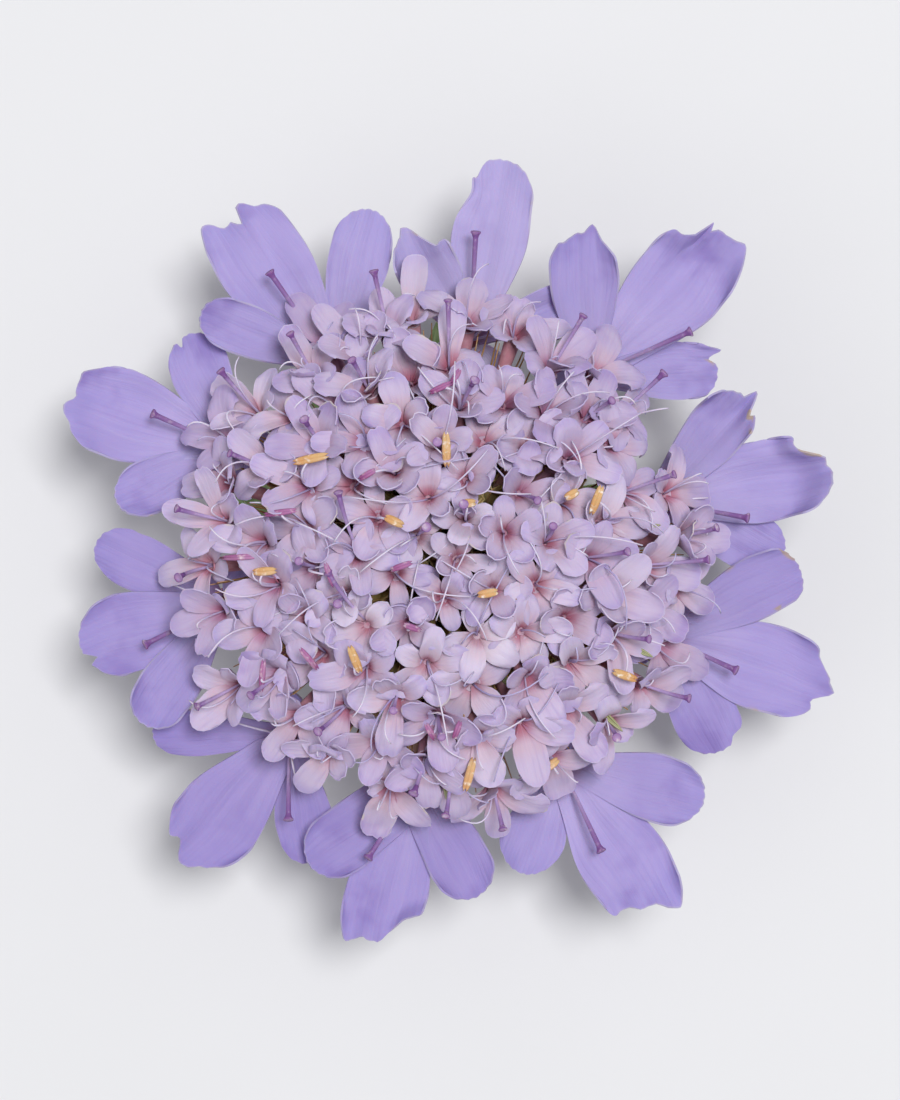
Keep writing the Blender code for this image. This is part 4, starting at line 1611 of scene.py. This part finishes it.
@dataclass
class Stamens:
    """The anthers that stay on the head, each on its thread."""

    finishes: Finishes
    head: Head
    radius: float = 0.15 * MM
    shut_share: float = 0.72
    lift: float = 1.9 * MM

    def build(self) -> None:
        """Builds the anthers and the threads that carry them.

        An anther is two rods side by side, whose radius is (1 - (2 t - 1) to the power 2.4) to
        the power 0.6 for t from 0 to 1 along it. Each thread comes from the nearest floret that
        isn't much farther out.
        """
        draw = np.random.default_rng(SEED + 6)
        threads = Patchwork()
        for state, anthers in ANTHERS.items():
            data = np.array([(a.x, a.y, a.heading, a.length) for a in anthers])
            flat = np.pad(data[:, :2] * MM, ((0, 0), (0, 1))) - HEAD_CENTRE
            share = np.linalg.norm(flat, axis=1) / self.head.radius
            place = on_head(flat, (self.head.height(share) + self.lift)[:, None])
            heading = unit(direction(data[:, 2]) + UP * draw.uniform(-0.2, 0.25, (len(data), 1)))
            half = heading * (data[:, 3:] * MM / 2.0)
            t = np.linspace(0.0, 1.0, 11)
            path = bend(place - half, place + UP * 0.35 * MM, place + half, len(t))
            breadth = self.radius if state is AntherState.OPEN else self.shut_share * self.radius
            radius = breadth * (1.0 - np.abs(2.0 * t - 1.0) ** 2.4) ** 0.6 + 0.01 * MM
            work = Patchwork()
            beside = np.cross(heading, UP)[:, None, :] * breadth * 0.6
            for half_side in (-1.0, 1.0):
                rod = tube_grid(path + beside * half_side, radius, 8, capped=True)
                work.add(rod, draw.uniform(-0.3, 0.6, len(data)), closed=True)
            materials = [self.finishes.anthers[state]]
            settle(work, f"anthers_{state.value}", materials, "disc_florets", slot="disc_floret")
            gap = np.linalg.norm(self.head.throat[None] - place[:, None], axis=2)
            too_far_out = self.head.share[None] > share[:, None] + 0.35
            owner = np.argmin(gap + 50.0 * too_far_out, axis=1)
            start = self.head.throat[owner] - self.head.axis[owner] * 0.7 * MM
            middle = self.head.throat[owner] + self.head.axis[owner] * 2.4 * MM
            add_rods(threads, bend(start, middle, place, 12), (0.09, 0.06), 6, np.zeros(len(data)))
        materials = [self.finishes.filament]
        settle(threads, "anther_threads", materials, "disc_florets", slot="disc_floret")


# Radius and height, in millimetres, from the stem round the receptacle to its top
RECEPTACLE_PROFILE = (
    (0.0, 6.3), (1.0, 6.3), (1.5, 6.32), (2.4, 6.5), (3.3, 6.9), (3.8, 7.3), (4.0, 7.9),
    (4.0, 8.8), (3.95, 9.5), (3.6, 9.95), (2.6, 10.2), (1.3, 10.3), (0.0, 10.32),
)

# Height and radius of the stem, in millimetres
STEM_PROFILE = ((0.0, 1.15), (1.8, 1.0), (3.7, 1.0), (5.2, 1.4), (6.3, 1.5))


@dataclass
class Base:
    """The green parts under the florets: the receptacle, its ring of bracts and the cut stem."""

    finishes: Finishes
    bract_count: int = 10
    bract_width: float = 3.0 * MM
    bract_reach: float = 14.8 * MM
    bract_shorter: float = 1.6 * MM
    root_radius: float = 3.0 * MM
    root_height: float = 7.6 * MM
    crest_height: float = 8.2 * MM
    tip_height: float = 0.2 * MM
    broadest: float = 0.4
    bract_thickness: float = 0.28 * MM
    stem_top: float = 6.25 * MM
    rib_count: float = 10.0
    rib_depth: float = 0.035
    hairs_on_bract: int = 90
    hairs_on_stem: int = 180
    lowest_hair: float = 1.2 * MM

    def build(self) -> None:
        """Builds the receptacle, the bracts and the stem, each with its hairs."""
        self.build_receptacle()
        self.build_bracts()
        self.build_stem()

    def build_hairs(
        self, name: str, root: Array, lean: Array, seed: int, *nodes: str, slot: str,
    ) -> None:
        """Builds short hairs: thin rods that taper and bend up a little from their roots.

        Args:
            name: Name of the piece.
            root: Root of each hair, (hairs, 3).
            lean: Direction in which each hair leaves the surface, (hairs, 3).
            seed: Seed of their lengths.
            nodes: CAD nodes that the piece stands for.
            slot: Finish slot, passed on to settle.
        """
        draw = np.random.default_rng(seed)
        length = draw.uniform(0.25, 0.6, (len(root), 1)) * MM
        tip = root + lean * length + UP * 0.25 * length
        path = bend(root - lean * 0.08 * MM, root + lean * 0.6 * length, tip, 4)
        work = Patchwork()
        add_rods(work, path, (0.022, 0.006), 4, draw.uniform(-0.5, 0.5, len(root)))
        settle(work, name, [self.finishes.hair], *nodes, slot=slot)

    def build_receptacle(self) -> None:
        """Builds the receptacle: a smooth knob turned about the stem's line."""
        points = np.array(RECEPTACLE_PROFILE)[:, None] * MM
        ring = direction(-np.linspace(0.0, 360.0, 48, endpoint=False))
        work = Patchwork()
        work.add(on_head(ring * points[..., :1], points[..., 1:])[None], np.zeros(1), closed=True)
        settle(work, "receptacle", [self.finishes.bract], "involucre", slot="involucre")

    def build_bracts(self) -> None:
        """Builds the bracts: long green blades that arch out and droop to the surface.

        With t from 0 at the root to 1 at the tip, a bract's distance from the middle grows by
        t (1.3 - 0.3 t), its height follows a cubic curve through root, crest and tip heights, and
        its half width swells to the broadest place and then tapers to a point. Its margins stand
        a little higher than its middle, which has a keel, and wave more towards the tip.
        """
        draw = np.random.default_rng(SEED + 7)
        count = self.bract_count
        number = np.arange(count)
        azimuth = 360.0 * (number + 0.5) / count + draw.uniform(-4.0, 4.0, count)
        second = number % 2
        reach = self.bract_reach + draw.uniform(-0.3, 0.3, count) * MM - second * self.bract_shorter
        tip = self.tip_height + second * draw.uniform(0.8, 2.0, count) * MM
        t, u = np.linspace(0.0, 1.0, 26)[None], np.linspace(-1.0, 1.0, 13)
        distance = self.root_radius + (reach[:, None] - self.root_radius) * t * (1.3 - 0.3 * t)
        heights = (self.root_height, self.crest_height, self.crest_height - 1.0 * MM)
        shares = ((1.0 - t) ** 3, 3.0 * t * (1.0 - t) ** 2, 3.0 * t * t * (1.0 - t))
        height = sum(h * share for h, share in zip(heights, shares)) + tip[:, None] * t ** 3
        breadth = 0.6 + 0.4 * smoothstep(t / self.broadest)
        past = np.maximum(0.0, (t - self.broadest) / (1.0 - self.broadest))
        breadth = breadth * (1.0 - 0.93 * past ** 1.5)
        out = direction(azimuth)
        side = np.cross(UP, out)
        breadth, t = breadth[..., None], t[..., None]
        sideways = u * (breadth * self.bract_width / 2.0)
        keel = u * u - 0.6 * np.exp(-((u / 0.12) ** 2))
        wave = np.sin(8.0 * t + 2.0 * number[:, None, None] + 1.5 * u) * t * np.abs(u)
        rise = height[..., None] + 0.22 * MM * breadth * keel + 0.1 * MM * wave
        grid = on_head(out[:, None, None] * distance[..., None, None], rise[..., None])
        grid = grid + side[:, None, None] * sideways[..., None]
        work = Patchwork()
        work.add(grid, draw.uniform(-0.4, 0.4, count))
        settle(
            work, "bracts", [self.finishes.bract], "involucre", slot="involucre",
            thickness=self.bract_thickness, weld=False,
        )
        self.add_bract_hairs(grid, side)

    def add_bract_hairs(self, grid: Array, side: Array) -> None:
        """Adds hairs along the margins of the bracts and over both their faces.

        Args:
            grid: The bracts' vertices, (bracts, rows, columns, 3).
            side: Direction across each bract, (bracts, 3).
        """
        draw = np.random.default_rng(SEED + 9)
        bracts, rows, columns, _ = grid.shape
        count = self.hairs_on_bract * bracts
        owner = np.repeat(np.arange(bracts), self.hairs_on_bract)
        row = draw.integers(2, rows - 5, count)
        margin = draw.uniform(0.0, 1.0, count) < 0.5
        edge = draw.integers(0, 2, count)
        column = np.where(margin, edge * (columns - 1), draw.integers(1, columns - 1, count))
        root = grid[owner, row, column]
        middle = grid[:, :, columns // 2]
        face = np.cross(middle[owner, row + 1] - middle[owner, row - 1], side[owner])
        face = unit(face) * np.where(draw.uniform(0.0, 1.0, count) < 0.5, 1.0, -1.0)[:, None]
        outward = side[owner] * (2.0 * edge - 1.0)[:, None]
        loose = face + 0.4 * draw.normal(0.0, 1.0, (count, 3))
        lean = np.where(margin[:, None], outward + 0.3 * face, loose)
        high = root[:, 2] > self.lowest_hair
        root, lean = root[high], unit(lean)[high]
        self.build_hairs("bract_hairs", root, lean, SEED + 10, "involucre", slot="involucre")

    def build_stem(self) -> None:
        """Builds the stem: a ribbed stub with a pale cut face.

        Its radius follows straight lines through the profile's, times one plus a small cosine of
        ten times the angle for the ribs, which fade towards the cut.
        """
        z = np.linspace(0.0, self.stem_top, 24)
        heights, radii = np.array(STEM_PROFILE).T * MM
        radius = np.interp(z, heights, radii)
        angle = np.linspace(0.0, 2.0 * np.pi, 60, endpoint=False)
        fade = np.clip(z / MM, 0.2, 1.0)[:, None]
        rib = 1.0 + self.rib_depth * np.cos(self.rib_count * angle) * fade
        ring = direction(-np.degrees(angle))
        grid = on_head(ring[None] * (radius[:, None] * rib)[..., None], z[:, None, None])
        work = Patchwork()
        work.add(grid[None], np.zeros(1), closed=True)
        shares = np.array((0.0, 0.45, 0.8, 1.0))
        for rim, share, slot in ((grid[:1], shares, 1), (grid[-1:], shares[::-1], 0)):
            level = np.array((0.0, 0.0, rim[0, 0, 2]))
            share = share[:, None, None]
            end = (HEAD_CENTRE + level) * (1.0 - share) + rim * share
            work.add(end[None], np.zeros(1), share[:, 0, 0], slot=slot, closed=True)
        materials = [self.finishes.stem, self.finishes.pith]
        settle(work, "cut_stem", materials, "stem", slot="stem")
        draw = np.random.default_rng(SEED + 11)
        row = draw.integers(3, len(z) - 2, self.hairs_on_stem)
        column = draw.integers(0, len(ring), self.hairs_on_stem)
        lean = unit(ring[column] + 0.3 * draw.normal(0.0, 1.0, (self.hairs_on_stem, 3)))
        self.build_hairs("stem_hairs", grid[row, column], lean, SEED + 12, "stem", slot="stem")


@dataclass(frozen=True)
class SoftLight:
    """A square soft light: its place and size in metres and its power in watts."""

    name: str
    place: tuple[float, float, float]
    size: float
    power: float


# A key light from the upper right and a weak fill from the lower left
LIGHTS = (
    SoftLight("key", (0.1, 0.08, 0.6), 0.16, 2.75),
    SoftLight("fill", (-0.4, -0.25, 0.4), 0.5, 0.5),
)


@dataclass
class Studio:
    """The floor, the lights and the camera, which looks straight down at the flower's face."""

    lens: float = 100.0
    sensor: float = 36.0
    frame_height: float = 64.7 * MM
    focus_height: float = 11.5 * MM
    aim_height: float = 12.0 * MM
    floor_half: float = 1.5
    floor_level: float = -0.02 * MM
    surround: Colour = (0.95, 0.96, 1.0)
    surround_strength: float = 0.44

    def build(self) -> None:
        """Builds the studio."""
        self.add_floor()
        self.add_lights()
        self.add_camera()

    def add_floor(self) -> None:
        """Adds a wide flat floor, a hair below the cut face of the stem."""
        half, level = self.floor_half, self.floor_level
        mesh = bpy.data.meshes.new("floor")
        corners = [(x * half, y * half, level) for x, y in ((-1, -1), (1, -1), (1, 1), (-1, 1))]
        mesh.from_pydata(corners, [], [(0, 1, 2, 3)])
        mesh.materials.append(FloorFinish().material())
        floor = bpy.data.objects.new("floor", mesh)
        bpy.context.scene.collection.objects.link(floor)

    def add_lights(self) -> None:
        """Adds the soft lights, which point at the flower, and an even pale surround."""
        for soft in LIGHTS:
            lamp = bpy.data.lights.new(soft.name, "AREA")
            lamp.size = soft.size
            lamp.energy = soft.power
            light = bpy.data.objects.new(soft.name, lamp)
            light.location = soft.place
            aim = Vector((0.0, 0.0, self.aim_height)) - Vector(soft.place)
            light.rotation_euler = aim.to_track_quat("-Z", "Y").to_euler()
            bpy.context.scene.collection.objects.link(light)
        world = bpy.data.worlds.new("Surround")
        world.use_nodes = True
        background = world.node_tree.nodes["Background"]
        background.inputs["Color"].default_value = (*self.surround, 1.0)
        background.inputs["Strength"].default_value = self.surround_strength
        bpy.context.scene.world = world
        bpy.context.scene.view_settings.view_transform = "Standard"

    def add_camera(self) -> None:
        """Adds the camera, far enough up for the photo's height to fill the frame at the rays."""
        data = bpy.data.cameras.new("camera")
        data.lens = self.lens
        data.sensor_width = self.sensor
        data.clip_start = 0.01
        camera = bpy.data.objects.new("camera", data)
        distance = self.frame_height * self.lens / self.sensor
        camera.location = (0.0, 0.0, self.focus_height + distance)
        bpy.context.scene.collection.objects.link(camera)
        bpy.context.scene.camera = camera


def main() -> None:
    """Builds the flower from its base up, then the studio."""
    logging.basicConfig(level=logging.INFO, format="%(message)s")
    finishes = Finishes()
    head = Head()
    Base(finishes).build()
    RayFlorets(finishes).build()
    DiscFlorets(finishes, head).build()
    Stamens(finishes, head).build()
    Studio().build()


if __name__ == "__main__":
    main()
